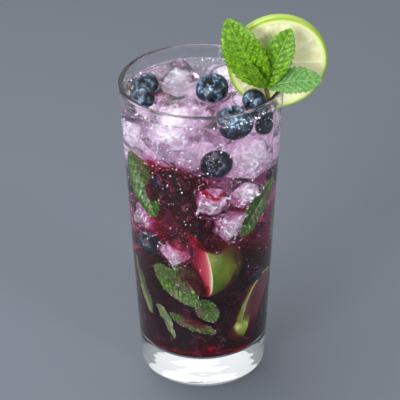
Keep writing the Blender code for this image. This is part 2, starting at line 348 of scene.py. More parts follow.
for glass_face in tumbler.data.polygons:
    face_x, face_y, face_z = glass_face.center / MM
    inside = math.hypot(face_x, face_y) < inner_radius(face_z) + 0.5 * WALL
    if inside and FLOOR_HEIGHT - 0.1 < face_z < WET_HEIGHT:
        glass_face.material_index = 1
    elif face_z < 0.1:
        glass_face.material_index = 2
    elif face_z > rim_height:
        glass_face.material_index = 3


# The drink: sparkling water, lime juice and rum, stained pale pink by the berries. It wets the
# glass, so its side reaches just into the wall, and its edge creeps up at the wall and the berries.
INTO_WALL = 0.2
# Berries at the surface: centre, radius, and the way the crown points, as the solids have them.
SURFACE_BERRIES = {
    "blueberry_left_back": ((-25.0, 5.9, 146.2), 5.7, (-0.55, -0.35, 0.75)),
    "blueberry_left_front": ((-26.0, -8.6, 146.6), 5.5, (-0.85, -0.30, 0.40)),
    "blueberry_middle": ((5.0, -2.6, 148.2), 7.6, (-0.35, -0.30, 0.88)),
    "blueberry_front": ((14.2, -22.6, 142.0), 7.5, (0.05, -0.25, 0.96)),
    "blueberry_right": ((23.9, -15.6, 148.8), 5.7, (-0.62, -0.74, -0.25)),
}


def bumps(points, size, seed=0.0):
    """Smooth noise from -1 to 1 at points in millimetres, with lumps of a size."""
    flat = np.asarray(points, float).reshape(-1, 3) / size + seed
    values = np.array([noise.noise(Vector(p)) for p in flat.tolist()])
    return values.reshape(np.asarray(points).shape[:-1])


def surface_height(x, y):
    """The drink's top: faint ripples, and a film that climbs the wall and the berries."""
    radius = np.hypot(x, y)
    height = DRINK_LEVEL + 0.14 * bumps(np.stack([x, y, 0 * x], -1), 9.0)
    height = height + 0.5 * np.exp(-np.maximum(0, inner_radius(DRINK_LEVEL) - radius) / 0.8)
    for centre, size, _ in SURFACE_BERRIES.values():
        waterline = math.sqrt(max(0.0, size**2 - (DRINK_LEVEL - centre[2]) ** 2))
        away = np.maximum(0, np.hypot(x - centre[0], y - centre[1]) - waterline)
        height = height + 0.8 * np.exp(-away / 0.9)
    return height


drink_side = inner_radius(DRINK_LEVEL) + INTO_WALL
drink_top = [(r, DRINK_LEVEL) for r in np.linspace(0, drink_side, 80)]
drink_wall = [(drink_side, DRINK_LEVEL)]
drink_wall += [(inner_radius(z) + INTO_WALL, z) for z in np.linspace(140, 25, 20)]
drink_floor = arc(floor_corner, FLOOR_ROUND + INTO_WALL, 0, -90, 10)
drink_floor += [(12.0, FLOOR_HEIGHT - INTO_WALL), (0.0, FLOOR_HEIGHT - INTO_WALL)]
drink_grid = turned(drink_top + drink_wall + drink_floor)
top_rows = len(drink_top)
drink_grid[:top_rows, :, 2] = surface_height(drink_grid[:top_rows, :, 0], drink_grid[:top_rows, :, 1])
drink_grid[top_rows, :, 2] = drink_grid[top_rows - 1, :, 2] - 0.1
at_wall = np.zeros(drink_grid.shape[:2])
at_wall[top_rows:] = 1.0

# Berry juice in sparkling water: it drinks up green light first, so the glass looks pink. The wall's
# wetted side bends the light between glass and drink, so there the drink's own skin does nothing.
sparkling_drink = new_material("sparkling_berry_drink")
drink_ripple = add_node(sparkling_drink, "TexNoise", {"Scale": 1 / (5 * MM), "Detail": 2.0})
drink_bump = add_node(
    sparkling_drink, "Bump", {"Strength": 0.15, "Distance": 0.3 * MM, "Height": drink_ripple.outputs["Fac"]}
)
drink_shader = add_node(
    sparkling_drink,
    "BsdfPrincipled",
    {
        "Base Color": linear("#fdf8fb"),
        "Roughness": 0.0,
        "IOR": DRINK_IOR,
        "Transmission Weight": 1.0,
        "Normal": drink_bump.outputs["Normal"],
    },
)
wall_mark = add_node(sparkling_drink, "Attribute", attribute_name="at_wall")
bare = add_node(sparkling_drink, "BsdfTransparent")
drink_skin = add_node(
    sparkling_drink, "MixShader", {0: wall_mark.outputs["Fac"], 1: drink_shader.outputs[0], 2: bare.outputs[0]}
)
drink_tint = add_node(sparkling_drink, "VolumeAbsorption", {"Color": (0.81, 0.16, 0.56, 1.0), "Density": 10.5})
dress(sparkling_drink, let_light_in(sparkling_drink, drink_skin, linear("#ffffff")), drink_tint)
full_drink = grid_mesh("full_drink", drink_grid, {"at_wall": at_wall})


# The ice: cubes from a tray, half melted, clear at the skin and clouded by trapped air at the
# core. Three stand above the surface and the rest fill the glass.
ICE_MELT = 0.8
ICE_DIMPLES = 0.20
ICE_GRAIN = 0.85
ICE_SKIN = 1.2


def remeshed(piece, voxel):
    """Turns a piece's mesh into even small faces."""
    remesh = piece.modifiers.new("Remesh", "REMESH")
    remesh.mode = "VOXEL"
    remesh.voxel_size = voxel * MM
    bpy.context.view_layer.update()
    graph = bpy.context.evaluated_depsgraph_get()
    fine = bpy.data.meshes.new_from_object(piece.evaluated_get(graph))
    piece.modifiers.clear()
    return fine


def roughened(mesh, size, depth, seed=0.0):
    """Pushes a mesh's points in and out by smooth noise."""
    count = len(mesh.vertices)
    points = np.zeros(count * 3)
    normals = np.zeros(count * 3)
    mesh.vertices.foreach_get("co", points)
    mesh.vertices.foreach_get("normal", normals)
    points = points.reshape(-1, 3)
    push = bumps(points / MM, size, seed)[:, None] * depth * MM
    mesh.vertices.foreach_set("co", (points + normals.reshape(-1, 3) * push).ravel())
    mesh.update()
    return mesh


def loose_object(name, mesh):
    obj = bpy.data.objects.new(name, mesh)
    bpy.context.scene.collection.objects.link(obj)
    return obj


def turn_of(turn_deg):
    """A turn about X, then Y, then Z."""
    turn = Matrix.Identity(3)
    for degrees, axis in zip(turn_deg, "XYZ"):
        turn = Matrix.Rotation(math.radians(degrees), 3, axis) @ turn
    return turn


def melted(name, mesh, turn_deg, seed):
    """A melting cube of ice: its flat sides dimpled, its edges soft and marked for a white line painted on them as a
    highlight.
    """
    obj = loose_object(name, mesh)
    fine = remeshed(obj, ICE_GRAIN)
    bpy.data.objects.remove(obj, do_unlink=True)
    normals = np.zeros(len(fine.vertices) * 3)
    fine.vertices.foreach_get("normal", normals)
    along_sides = np.abs(normals.reshape(-1, 3) @ np.array(turn_of(turn_deg))).max(1)
    edge = fine.attributes.new("edge", "FLOAT", "POINT")
    edge.data.foreach_set("value", np.clip((1 - along_sides) / 0.25, 0, 1))
    return roughened(roughened(fine, 7.0, ICE_MELT, seed), 2.4, ICE_DIMPLES, seed)


def cube_mesh(name, centre, side, turn_deg, unevenness, rng):
    """A cube with pushed corners and round edges, in place."""
    bm = bmesh.new()
    bmesh.ops.create_cube(bm, size=side * MM)
    for vert in bm.verts:
        vert.co += Vector([rng.uniform(-unevenness, unevenness) * MM for _ in range(3)])
    bmesh.ops.bevel(bm, geom=bm.edges, offset=0.22 * side * MM, segments=3, profile=0.6, affect="EDGES")
    place = Matrix.Translation(Vector(centre) * MM) @ turn_of(turn_deg).to_4x4()
    bmesh.ops.transform(bm, matrix=place, verts=bm.verts)
    mesh = bpy.data.meshes.new(name)
    bm.to_mesh(mesh)
    bm.free()
    return mesh


def ice_material(name, ior, frost_and_highlight_share):
    """Clear ice with frosty flecks in its skin, and a fine white line along each edge that is a painted highlight."""
    material = new_material(name)
    grain = add_node(material, "TexNoise", {"Scale": 1 / (2.0 * MM), "Detail": 6.0, "Roughness": 0.65})
    bump = add_node(material, "Bump", {"Strength": 0.7, "Distance": 0.4 * MM, "Height": grain.outputs["Fac"]})
    clear = add_node(
        material,
        "BsdfPrincipled",
        {
            "Base Color": linear("#f8f7fc"),
            "Roughness": 0.03,
            "IOR": ior,
            "Transmission Weight": 1.0,
            "Normal": bump.outputs["Normal"],
        },
    )
    # A white line is painted along each edge as a highlight; elsewhere the grain alone makes frosty flecks.
    edge = add_node(material, "Attribute", attribute_name="edge")
    edge_highlight_share = add_node(material, "MapRange", {"Value": edge.outputs["Fac"], 1: 0.65, 2: 1.0, 3: 0.0, 4: 0.18})
    frost_and_highlight_height = add_node(material, "Math", {0: grain.outputs["Fac"], 1: edge_highlight_share.outputs[0]}, operation="ADD")
    frost_and_highlight_mask = add_node(material, "MapRange", {"Value": frost_and_highlight_height.outputs[0], 1: 0.60, 2: 0.74, 3: 0.0, 4: frost_and_highlight_share})
    # The white of the frosty flecks and of the painted edge highlight.
    frost_and_highlight_white = add_node(
        material,
        "BsdfPrincipled",
        {"Base Color": linear("#e6eef4"), "Roughness": 0.25, "Normal": bump.outputs["Normal"]},
    )
    skin = add_node(material, "MixShader", {0: frost_and_highlight_mask.outputs[0], 1: clear.outputs[0], 2: frost_and_highlight_white.outputs[0]})
    dress(material, let_light_in(material, skin, linear("#f4f3f8")))
    return material


# Above the drink ice bends light as it does in air, and under it far less, so its skin shows less.
wet_ice = ice_material("wet_ice", 1.31, 0.45)
sunk_ice = ice_material("ice_in_drink", 1.12, 0.55)

# The core of a cube is white with air that was trapped as it froze: a soft cloud that thins out at
# its edge, with denser puffs and fine streaks in it.
cloudy_core = new_material("cloudy_ice_core")
core_puffs = add_node(cloudy_core, "TexNoise", {"Scale": 1 / (4 * MM), "Detail": 6.0, "Roughness": 0.7})
core_streaks = add_node(cloudy_core, "TexVoronoi", {"Scale": 1 / (1.6 * MM), "Randomness": 1.0})
core_air = add_node(
    cloudy_core, "Math", {0: core_puffs.outputs["Fac"], 1: core_streaks.outputs["Distance"], 2: 0.0},
    operation="ADD",
)
core_alpha = add_node(cloudy_core, "MapRange", {"Value": core_air.outputs[0], 1: 0.96, 2: 1.22, 3: 0.0, 4: 0.5})
core_bump = add_node(cloudy_core, "Bump", {"Strength": 0.8, "Distance": 0.5 * MM, "Height": core_air.outputs[0]})
core_shader = add_node(
    cloudy_core,
    "BsdfPrincipled",
    {
        "Base Color": linear("#e9f1f8"),
        "Roughness": 0.35,
        "Alpha": core_alpha.outputs[0],
        "Normal": core_bump.outputs["Normal"],
    },
)
core_fog = add_node(cloudy_core, "VolumeScatter", {"Color": (0.90, 0.96, 1.0, 1.0), "Density": 95.0})
dress(cloudy_core, core_shader, core_fog)

# Cracks run through a cube from the shock of warm drink, and their faces flash white.
ice_crack = new_material("crack_in_ice")
crack_frost = add_node(ice_crack, "TexNoise", {"Scale": 1 / (1.4 * MM), "Detail": 5.0, "Roughness": 0.7})
crack_alpha = add_node(
    ice_crack, "MapRange", {"Value": crack_frost.outputs["Fac"], 1: 0.50, 2: 0.60, 3: 0.0, 4: 0.9}
)
crack_shader = add_node(
    ice_crack,
    "BsdfPrincipled",
    {"Base Color": linear("#ffffff"), "Roughness": 0.2, "Alpha": crack_alpha.outputs[0]},
)
dress(ice_crack, crack_shader)


def core_mesh(name, centre, side, turn_deg, rng):
    """The cloud in the middle of a cube: the cube's own form, shrunk and made lumpy."""
    core_obj = loose_object(name, cube_mesh(name, centre, side, turn_deg, 1.5, rng))
    core = roughened(remeshed(core_obj, 0.9), 4.0, 2.0, rng.random() * 50)
    bpy.data.objects.remove(core_obj, do_unlink=True)
    return core


def hollow_mesh(mesh):
    """The hollow that a cube leaves in the drink: the cube's form, a little smaller all round."""
    points = np.zeros(len(mesh.vertices) * 3)
    mesh.vertices.foreach_get("co", points)
    points = points.reshape(-1, 3)
    low, high = points.min(0), points.max(0)
    smaller = 1 - 2 * ICE_SKIN * MM / (high - low)
    points = (points - (low + high) / 2) * smaller + (low + high) / 2
    mesh.vertices.foreach_set("co", points.ravel())
    mesh.attributes.new("at_wall", "FLOAT", "POINT").data.foreach_set("value", np.ones(len(points)))
    return mesh


def crack_mesh(name, centre, side, rng):
    """A crack: a thin closed lens of air, bent and ragged, lying any way through the cube."""
    polar = np.linspace(0, math.pi, 15)[:, None]
    around = np.linspace(0, 2 * math.pi, 28, endpoint=False)[None, :]
    ragged = 1 + 0.25 * np.sin(3 * around + rng.random() * 6) + 0.15 * np.sin(7 * around + rng.random() * 6)
    lens = np.stack(
        [
            np.sin(polar) * np.cos(around) * ragged * 0.42 * side,
            np.sin(polar) * np.sin(around) * ragged * 0.30 * side,
            0.06 * np.cos(polar) + 0 * around,
        ],
        -1,
    )
    lens[..., 2] += 0.9 * bumps(lens * [1, 1, 0], 4.0, rng.random() * 50)
    facing = Vector([rng.uniform(-1, 1) for _ in range(3)]).to_track_quat("Z", "Y").to_matrix()
    shift = [rng.uniform(-0.15, 0.15) * side for _ in range(3)]
    return grid_mesh(name, lens @ np.array(facing).T + np.array(centre) + shift)


def pressed_inside(mesh, clear):
    """Presses what would pass into the wall of the glass back against its inside."""
    points = np.zeros(len(mesh.vertices) * 3)
    mesh.vertices.foreach_get("co", points)
    points = points.reshape(-1, 3)
    radius = np.hypot(points[:, 0], points[:, 1])
    over = np.maximum(0, radius - (inner_radius(points[:, 2] / MM) - clear) * MM)
    points[:, :2] *= ((radius - 0.95 * over) / np.maximum(radius, 1e-9))[:, None]
    mesh.vertices.foreach_set("co", points.ravel())
    mesh.update()
    return mesh


# Cubes that stand above the drink, with their turns about X, Y and Z in degrees.
SURFACE_ICE = {"ice_back_left": (13, -11, 42), "ice_front": (6, 9, 14), "ice_back_right": (-10, 12, 34)}
cores, cracks, hollows = [], [], []
for ice_name, turn_deg in SURFACE_ICE.items():
    hollows.append(hollow_mesh(frame["nodes"][ice_name].data.copy()))
    cube = melted(ice_name, frame["nodes"][ice_name].data.copy(), turn_deg, len(ice_name))
    new_piece("cube_" + ice_name, cube, wet_ice, "ice", ice_name)
    rng = random.Random(ice_name)
    ice_low, ice_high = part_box(ice_name)
    middle = (ice_low + ice_high) / 2 / MM
    cores.append(core_mesh("core", middle, 10.0, (20, 30, 40), rng))
    cracks += [crack_mesh("crack", middle, 14.0, rng) for _ in range(3)]

# Cubes wholly in the drink: centre, side, and turn about X, Y and Z in degrees.
SUNK_ICE = {
    "left_top": ((-23.0, 0.5, 126.0), 14.5, (5, 8, 22)),
    "right_top": ((18.2, -11.0, 120.5), 17.5, (8, -6, -31)),
    "right_upper": ((21.0, 5.0, 132.0), 13.0, (18, 8, 20)),
    "middle": ((4.2, -23.0, 103.5), 15.0, (14, 10, 6)),
    "right_middle": ((17.5, -17.5, 104.5), 12.0, (-12, 20, -40)),
    "right_low": ((11.8, -20.8, 89.5), 15.0, (10, 18, -24)),
    "left_middle": ((-21.0, -8.4, 86.0), 14.0, (-8, 14, 25)),
    "left_low": ((-10.8, -20.6, 75.0), 13.0, (20, -15, 30)),
    "left_behind": ((-14.0, 12.0, 109.0), 18.0, (12, 30, 10)),
    "right_behind": ((14.0, 14.0, 112.0), 18.0, (-15, 10, 50)),
    "centre": ((-3.0, -2.0, 121.0), 18.0, (24, -12, 33)),
    "back": ((0.0, 20.0, 124.0), 16.0, (8, 15, 5)),
    "centre_low": ((0.0, -3.0, 95.0), 18.0, (35, 12, 60)),
    "back_low": ((-4.0, 19.0, 90.0), 16.0, (-20, 8, 12)),
    "right_back_low": ((18.0, 10.0, 86.0), 15.0, (15, 25, 35)),
    "left_back_low": ((-17.0, 14.0, 74.0), 14.0, (30, 10, 45)),
    "foot_back": ((6.0, 17.0, 68.0), 14.0, (10, 40, 20)),
}
cubes = []
for cube_name, (centre, side, turn_deg) in SUNK_ICE.items():
    rng = random.Random(cube_name)
    cube = cube_mesh(cube_name, centre, side, turn_deg, 1.2, rng)
    hollows.append(pressed_inside(hollow_mesh(cube.copy()), 1.5))
    cubes.append(melted(cube_name, cube, turn_deg, rng.random() * 50))
    cores.append(core_mesh("core", centre, 0.68 * side, turn_deg, rng))
    cracks += [crack_mesh("crack", centre, side, rng) for _ in range(3)]
new_piece("sunk_ice", pressed_inside(joined("sunk_ice", cubes), 0.5), sunk_ice, "ice")
new_piece("ice_clouds", pressed_inside(joined("ice_clouds", cores), 1.2), cloudy_core, "ice")
new_piece("ice_cracks", pressed_inside(joined("ice_cracks", cracks), 1.2), ice_crack, "ice")

# Ice takes the drink's place and is clear of its stain, so the drink is hollow where a cube lies.
drink_obj = loose_object("full_drink", full_drink)
cutters = bpy.data.collections.new("hollow_cutters")
bpy.context.scene.collection.children.link(cutters)
for hollow in hollows:
    cutters.objects.link(bpy.data.objects.new("hollow", hollow))
hollowed = drink_obj.modifiers.new("Hollows", "BOOLEAN")
hollowed.operation = "DIFFERENCE"
hollowed.operand_type = "COLLECTION"
hollowed.collection = cutters
hollowed.solver = "MANIFOLD"
bpy.context.view_layer.update()
drink_mesh = bpy.data.meshes.new_from_object(drink_obj.evaluated_get(bpy.context.evaluated_depsgraph_get()))
for used in (drink_obj, *cutters.objects):
    bpy.data.objects.remove(used, do_unlink=True)
bpy.data.collections.remove(cutters)
new_piece("drink_body", drink_mesh, sparkling_drink, "drink", "drink")


# The blueberries: ripe, ink blue under a pale waxy bloom, each with a five-pointed crown round a
# crater where the flower was, dark in itself and painted near black as shade in the hollow. Five
# float and the others have sunk.
BERRY_FLATTEN = 0.88
# Angles from the crown's axis in radians: the crater's edge between the sepals and at their tips.
CRATER_NARROW = 0.32
CRATER_WIDE = 0.56


def berry_mesh(name, centre, radius, crown, seed, rows=70, columns=90):
    """A blueberry with its crown pointing one way."""
    polar = math.pi * np.linspace(0, 1, rows)[:, None] ** 1.6
    around = np.linspace(0, 2 * math.pi, columns, endpoint=False)[None, :]
    lobes = np.abs(np.cos(2.5 * around + 0.25 * np.sin(3 * around + seed))) ** 1.3
    edge = CRATER_NARROW + (CRATER_WIDE - CRATER_NARROW) * lobes
    ridge = np.exp(-(((polar - edge - 0.05) / 0.055) ** 2)) * (0.035 + 0.095 * (1 - lobes))
    crater = 1 / (1 + np.exp((polar - edge) / 0.014))
    scar = np.exp(-((polar / 0.09) ** 2))
    reach = 1.0 + ridge - 0.28 * crater + 0.05 * scar
    out = np.stack(
        [np.sin(polar) * np.cos(around), np.sin(polar) * np.sin(around), np.cos(polar) + 0 * around], -1
    )
    reach = reach * (1 + 0.02 * bumps(out, 0.7, seed))
    points = out * reach[..., None] * radius
    points[..., 2] *= BERRY_FLATTEN
    turn = np.array(Vector(crown).to_track_quat("Z", "Y").to_matrix())
    points = points @ turn.T + np.array(centre)
    sepals = np.clip(ridge / 0.08, 0, 1)
    marks = {"crater": crater + 0 * around, "sepals": sepals, "from_crown": polar / math.pi + 0 * around}
    return grid_mesh(name, points, marks)


def berry_material(name, skin, thin_bloom, bloom, roughness):
    """Ink-blue skin under a wax bloom in patches, thick about the crown and thinning away from it."""
    material = new_material(name)
    patches = add_node(material, "TexNoise", {"Scale": 1 / (2.6 * MM), "Detail": 8.0, "Roughness": 0.78})
    wax = add_node(material, "MapRange", {"Value": patches.outputs["Fac"], 1: 0.38, 2: 0.68})
    from_crown = add_node(material, "Attribute", attribute_name="from_crown")
    # The bloom is made thinner the farther a point lies from the crown.
    crown_falloff = add_node(material, "Math", {0: from_crown.outputs["Fac"], 1: -0.6}, operation="MULTIPLY")
    bloom_amount = add_node(material, "Math", {0: wax.outputs[0], 1: crown_falloff.outputs[0]}, operation="ADD")
    coat = add_node(
        material,
        "ValToRGB",
        {"Fac": bloom_amount.outputs[0]},
        stops=[(0.0, linear(skin)), (0.34, linear(thin_bloom)), (0.70, linear(bloom))],
    )
    crater = add_node(material, "Attribute", attribute_name="crater")
    sepals = add_node(material, "Attribute", attribute_name="sepals")
    # The crater is painted near black: partly its own dark colour, partly painted shade in the hollow.
    dark = add_node(
        material, "Mix", {0: crater.outputs["Fac"], 6: coat.outputs[0], 7: linear("#020304")}, data_type="RGBA"
    )
    rim_share = add_node(material, "Math", {0: sepals.outputs["Fac"], 1: 0.35}, operation="MULTIPLY")
    rim = add_node(
        material, "Mix", {0: rim_share.outputs[0], 6: dark.outputs[2], 7: linear("#5c6f8c")}, data_type="RGBA"
    )
    skin_bump = add_node(
        material, "Bump", {"Strength": 0.6, "Distance": 0.15 * MM, "Height": patches.outputs["Fac"]}
    )
    dull = add_node(material, "MapRange", {"Value": crater.outputs["Fac"], 3: roughness, 4: 0.95})
    shader = add_node(
        material,
        "BsdfPrincipled",
        {"Base Color": rim.outputs[2], "Roughness": dull.outputs[0], "Normal": skin_bump.outputs["Normal"]},
    )
    dress(material, shader)
    return material


bloomed_skin = berry_material("bloomed_blueberry_skin", "#03050b", "#1a334c", "#a2c4dc", 0.34)
wet_skin = berry_material("wet_blueberry_skin", "#030409", "#0d1022", "#343b58", 0.28)
for berry_name, (centre, size, crown) in SURFACE_BERRIES.items():
    mesh = berry_mesh(berry_name, centre, size, crown, len(berry_name))
    new_piece("floating_" + berry_name, mesh, bloomed_skin, "blueberry", berry_name)

SUNK_BERRIES = {
    "under_front": ((6.2, -25.2, 123.6), 6.9, (-0.05, -0.96, 0.22)),
    "in_syrup": ((-15.0, -20.6, 111.8), 6.6, (-0.1, -0.8, 0.5)),
    "left_edge": ((-21.8, -12.6, 74.0), 6.2, (-0.5, -0.2, 0.9)),
    "right_wall": ((25.5, -11.5, 137.0), 5.6, (0.6, -0.6, 0.5)),
    "right_low": ((18.8, -9.0, 55.5), 6.0, (0.5, -0.6, 0.6)),
    "front_low": ((13.0, -12.5, 44.5), 6.2, (-0.3, -0.9, 0.2)),
    "foot": ((0.0, -12.0, 27.0), 6.0, (0.2, -0.3, 0.9)),
    "back_high": ((-9.0, 24.0, 112.0), 6.8, (-0.3, 0.9, 0.3)),
    "back_right": ((24.0, 12.0, 100.0), 6.4, (0.8, 0.5, 0.2)),
    "back_middle": ((10.0, 23.0, 82.0), 6.6, (0.3, 0.9, -0.2)),
    "back_left": ((-24.0, 8.0, 98.0), 6.2, (-0.9, 0.2, 0.3)),
    "back_low": ((-10.0, 21.0, 54.0), 6.6, (-0.3, 0.8, 0.4)),
}
sunk_berries = [
    berry_mesh(berry_name, centre, size, crown, len(berry_name), rows=56, columns=70)
    for berry_name, (centre, size, crown) in SUNK_BERRIES.items()
]
new_piece("sunk_berries", pressed_inside(joined("sunk_berries", sunk_berries), 0.5), wet_skin, "blueberry")


# The syrup: crushed blueberries and sugar, far heavier than the drink. It lies thick at the
# bottom and trails up through the ice as a maroon cloud: magenta where it is thin, black where not.
def berry_stain(name, pulp_share, colour, density, haze):
    """Berry juice in the drink: shreds of pulp on a hazy body that darkens with its thickness."""
    material = new_material(name)
    clear = add_node(material, "BsdfTransparent")
    folds = add_node(material, "TexNoise", {"Scale": 1 / (4.5 * MM), "Detail": 5.0, "Distortion": 1.2})
    pulp_colour = add_node(
        material,
        "ValToRGB",
        {"Fac": folds.outputs["Fac"]},
        stops=[(0.40, linear("#1a0209")), (0.58, linear("#6e0c30")), (0.70, linear("#b03a6c"))],
    )
    pulp = add_node(material, "BsdfPrincipled", {"Base Color": pulp_colour.outputs[0], "Roughness": 0.4})
    share = add_node(material, "MapRange", {"Value": folds.outputs["Fac"], 1: 0.50, 2: 0.68, 3: 0.0, 4: pulp_share})
    mixed = add_node(material, "MixShader", {0: share.outputs[0], 1: clear.outputs[0], 2: pulp.outputs[0]})
    tint = add_node(material, "VolumeAbsorption", {"Color": colour, "Density": density})
    if haze:
        specks = add_node(material, "VolumeScatter", {"Color": (0.70, 0.04, 0.30, 1.0), "Density": haze})
        tint = add_node(material, "AddShader", {0: tint.outputs[0], 1: specks.outputs[0]})
    dress(material, mixed, tint)
    return material


thick_syrup = berry_stain("thick_berry_syrup", 0.35, (0.90, 0.0, 0.40, 1.0), 2000.0, 14.0)
spreading_syrup = berry_stain("spreading_berry_syrup", 0.0, (0.86, 0.0, 0.50, 1.0), 110.0, 0.0)
thin_syrup = berry_stain("thin_berry_syrup", 0.0, (0.80, 0.0, 0.45, 1.0), 60.0, 0.0)
deep_syrup = berry_stain("deep_berry_syrup", 0.08, (0.84, 0.0, 0.30, 1.0), 460.0, 5.0)

# Strokes of the cloud: each a path of (x, y, z, radius).
SYRUP_STROKES = (
    (
        (-23, -20, 122.5, 1.4),
        (-19, -21, 118, 3.0),
        (-12.5, -23, 116, 5.0),
        (-5, -25, 115, 4.0),
        (0.5, -26, 114, 2.0),
    ),
    ((-13, -21, 112, 6.5), (-17.5, -18.5, 106, 6.3), (-13.5, -21, 104, 7.0), (-6, -23, 103, 5.2)),
    ((-9.3, -24, 98, 4.8), (-4.5, -25, 93, 6.0), (0.5, -25, 91, 3.8)),
    ((-21.5, -16.5, 100, 3.0), (-21.8, -17.5, 96.5, 1.7), (-21.3, -18, 90, 0.8)),
    (
        (-17.5, -20.5, 96, 2.4),
        (-19.2, -19.5, 88, 1.5),
        (-17, -21.5, 84.5, 1.9),
        (-13, -24.5, 80.5, 2.3),
        (-7.8, -26.5, 79.8, 2.0),
    ),
    ((-11.5, -25.5, 93, 2.2), (-9, -27, 88, 1.2), (-6, -27.6, 84, 1.3)),
    ((0.8, -25.5, 88, 2.2), (1.8, -25.5, 81, 3.9), (6, -25.3, 79.8, 3.4), (9.6, -25, 81, 1.5)),
    (
        (0.3, -28.5, 111, 1.2),
        (2.8, -28.8, 108.5, 2.0),
        (5, -28.8, 106, 1.3),
        (8, -27.8, 106.6, 0.9),
        (9.4, -27.2, 109, 0.6),
    ),
    ((-8, -12, 108, 6.0), (-4, -8, 100, 7.0), (2, -10, 90, 6.0), (0, -14, 82, 5.0)),
)


def ball_of(bm, centre, radius):
    made = bmesh.ops.create_icosphere(bm, subdivisions=2, radius=radius * MM)
    bmesh.ops.translate(bm, verts=made["verts"], vec=Vector(centre) * MM)


def cloud_mesh(name, wider, grain, billows):
    """The strokes run together into one body, so much wider all round, with billows on it."""
    bm = bmesh.new()
    for stroke in SYRUP_STROKES:
        for start, end in zip(stroke[:-1], stroke[1:]):
            for share in np.linspace(0, 1, 6):
                ball = np.array(start) * (1 - share) + np.array(end) * share
                ball_of(bm, ball[:3], ball[3] + wider)
    mesh = bpy.data.meshes.new(name)
    bm.to_mesh(mesh)
    bm.free()
    cloud = loose_object(name, mesh)
    mesh = roughened(roughened(remeshed(cloud, grain), 6.0, billows), 2.6, 0.25 * billows, 9.0)
    bpy.data.objects.remove(cloud, do_unlink=True)
    return mesh


# The thick of the cloud, and the magenta juice that spreads from it into the drink.
syrup_mesh = cloud_mesh("syrup_cloud", 0.0, 0.7, 2.0)
new_piece("syrup_cloud", pressed_inside(syrup_mesh, 0.9), thick_syrup, "drink")
spread_mesh = cloud_mesh("syrup_spread", 2.0, 1.1, 2.6)
new_piece("syrup_spread", pressed_inside(spread_mesh, 0.6), spreading_syrup, "drink")

# What lies against the glass stays clear of the stain, which reaches the wall only at the foot.
STAIN_CLEAR = 4.5


def stain_radius(height, step_in):
    away = np.clip((height - 24.0) / 9.0, 0, 1)
    return inner_radius(height) - 0.25 - step_in - STAIN_CLEAR * away**2 * (3 - 2 * away)


def layer_grid(top, waves, seed):
    """A body that fills the foot of the drink up to a wavy top. Each lies inside the one before."""
    step_in = 0.05 * seed
    radii = np.linspace(0, stain_radius(top, step_in), 28)
    cap = turned([(r, top) for r in radii], 96)
    cap[..., 2] += waves * bumps(cap, 13.0, seed) + 0.4 * waves * bumps(cap, 5.0, seed)
    side = turned([(1.0, z) for z in np.linspace(top - 4, 25, 20)], 96)
    foot_gap = 0.25 + step_in
    foot = turned(arc(floor_corner, FLOOR_ROUND - foot_gap, 0, -90, 6) + [(0.0, FLOOR_HEIGHT + foot_gap)], 96)
    edge = cap[-1, :, 2]
    side[..., 2] = 25 + (side[..., 2] - 25) * (edge - 1.0 - 25) / (top - 4 - 25)
    side[..., :2] *= stain_radius(side[..., 2], step_in)[..., None]
    return np.concatenate([cap, side, foot])


for layer_name, top, waves, seed, finish in (
    ("haze_high", 104.0, 14.0, 3.0, thin_syrup),
    ("haze_low", 78.0, 12.0, 5.0, thin_syrup),
    ("syrup_high", 60.0, 10.0, 7.0, deep_syrup),
    ("syrup_low", 44.0, 7.0, 11.0, deep_syrup),
):
    new_piece("stain_" + layer_name, grid_mesh(layer_name, layer_grid(top, waves, seed)), finish, "drink")


# The mint: fresh leaves, quilted between their veins and toothed along the edge. Some are
# pressed against the inside of the glass, and a sprig stands at the rim.
LEAF_VEINS = 9
LEAF_TEETH = 12
LEAF_CELL = 1.2


def pucker_of(x, y, seed):
    """The small domes between a leaf's finest veins: 0 in the grooves and 1 on the domes."""
    spots = np.stack([x, y, 0 * x + seed * 7.0], -1)
    drift = np.stack([bumps(spots, 2.6, 3.0), bumps(spots, 2.6, 8.0), 0 * x], -1)
    spots = (spots + 0.9 * drift) * [1.0, 0.7, 1.0] / LEAF_CELL
    edges = [
        reach[1] - reach[0] for reach, _ in (noise.voronoi(Vector(p)) for p in spots.reshape(-1, 3).tolist())
    ]
    return np.clip(np.array(edges).reshape(x.shape) / 0.7, 0, 1)


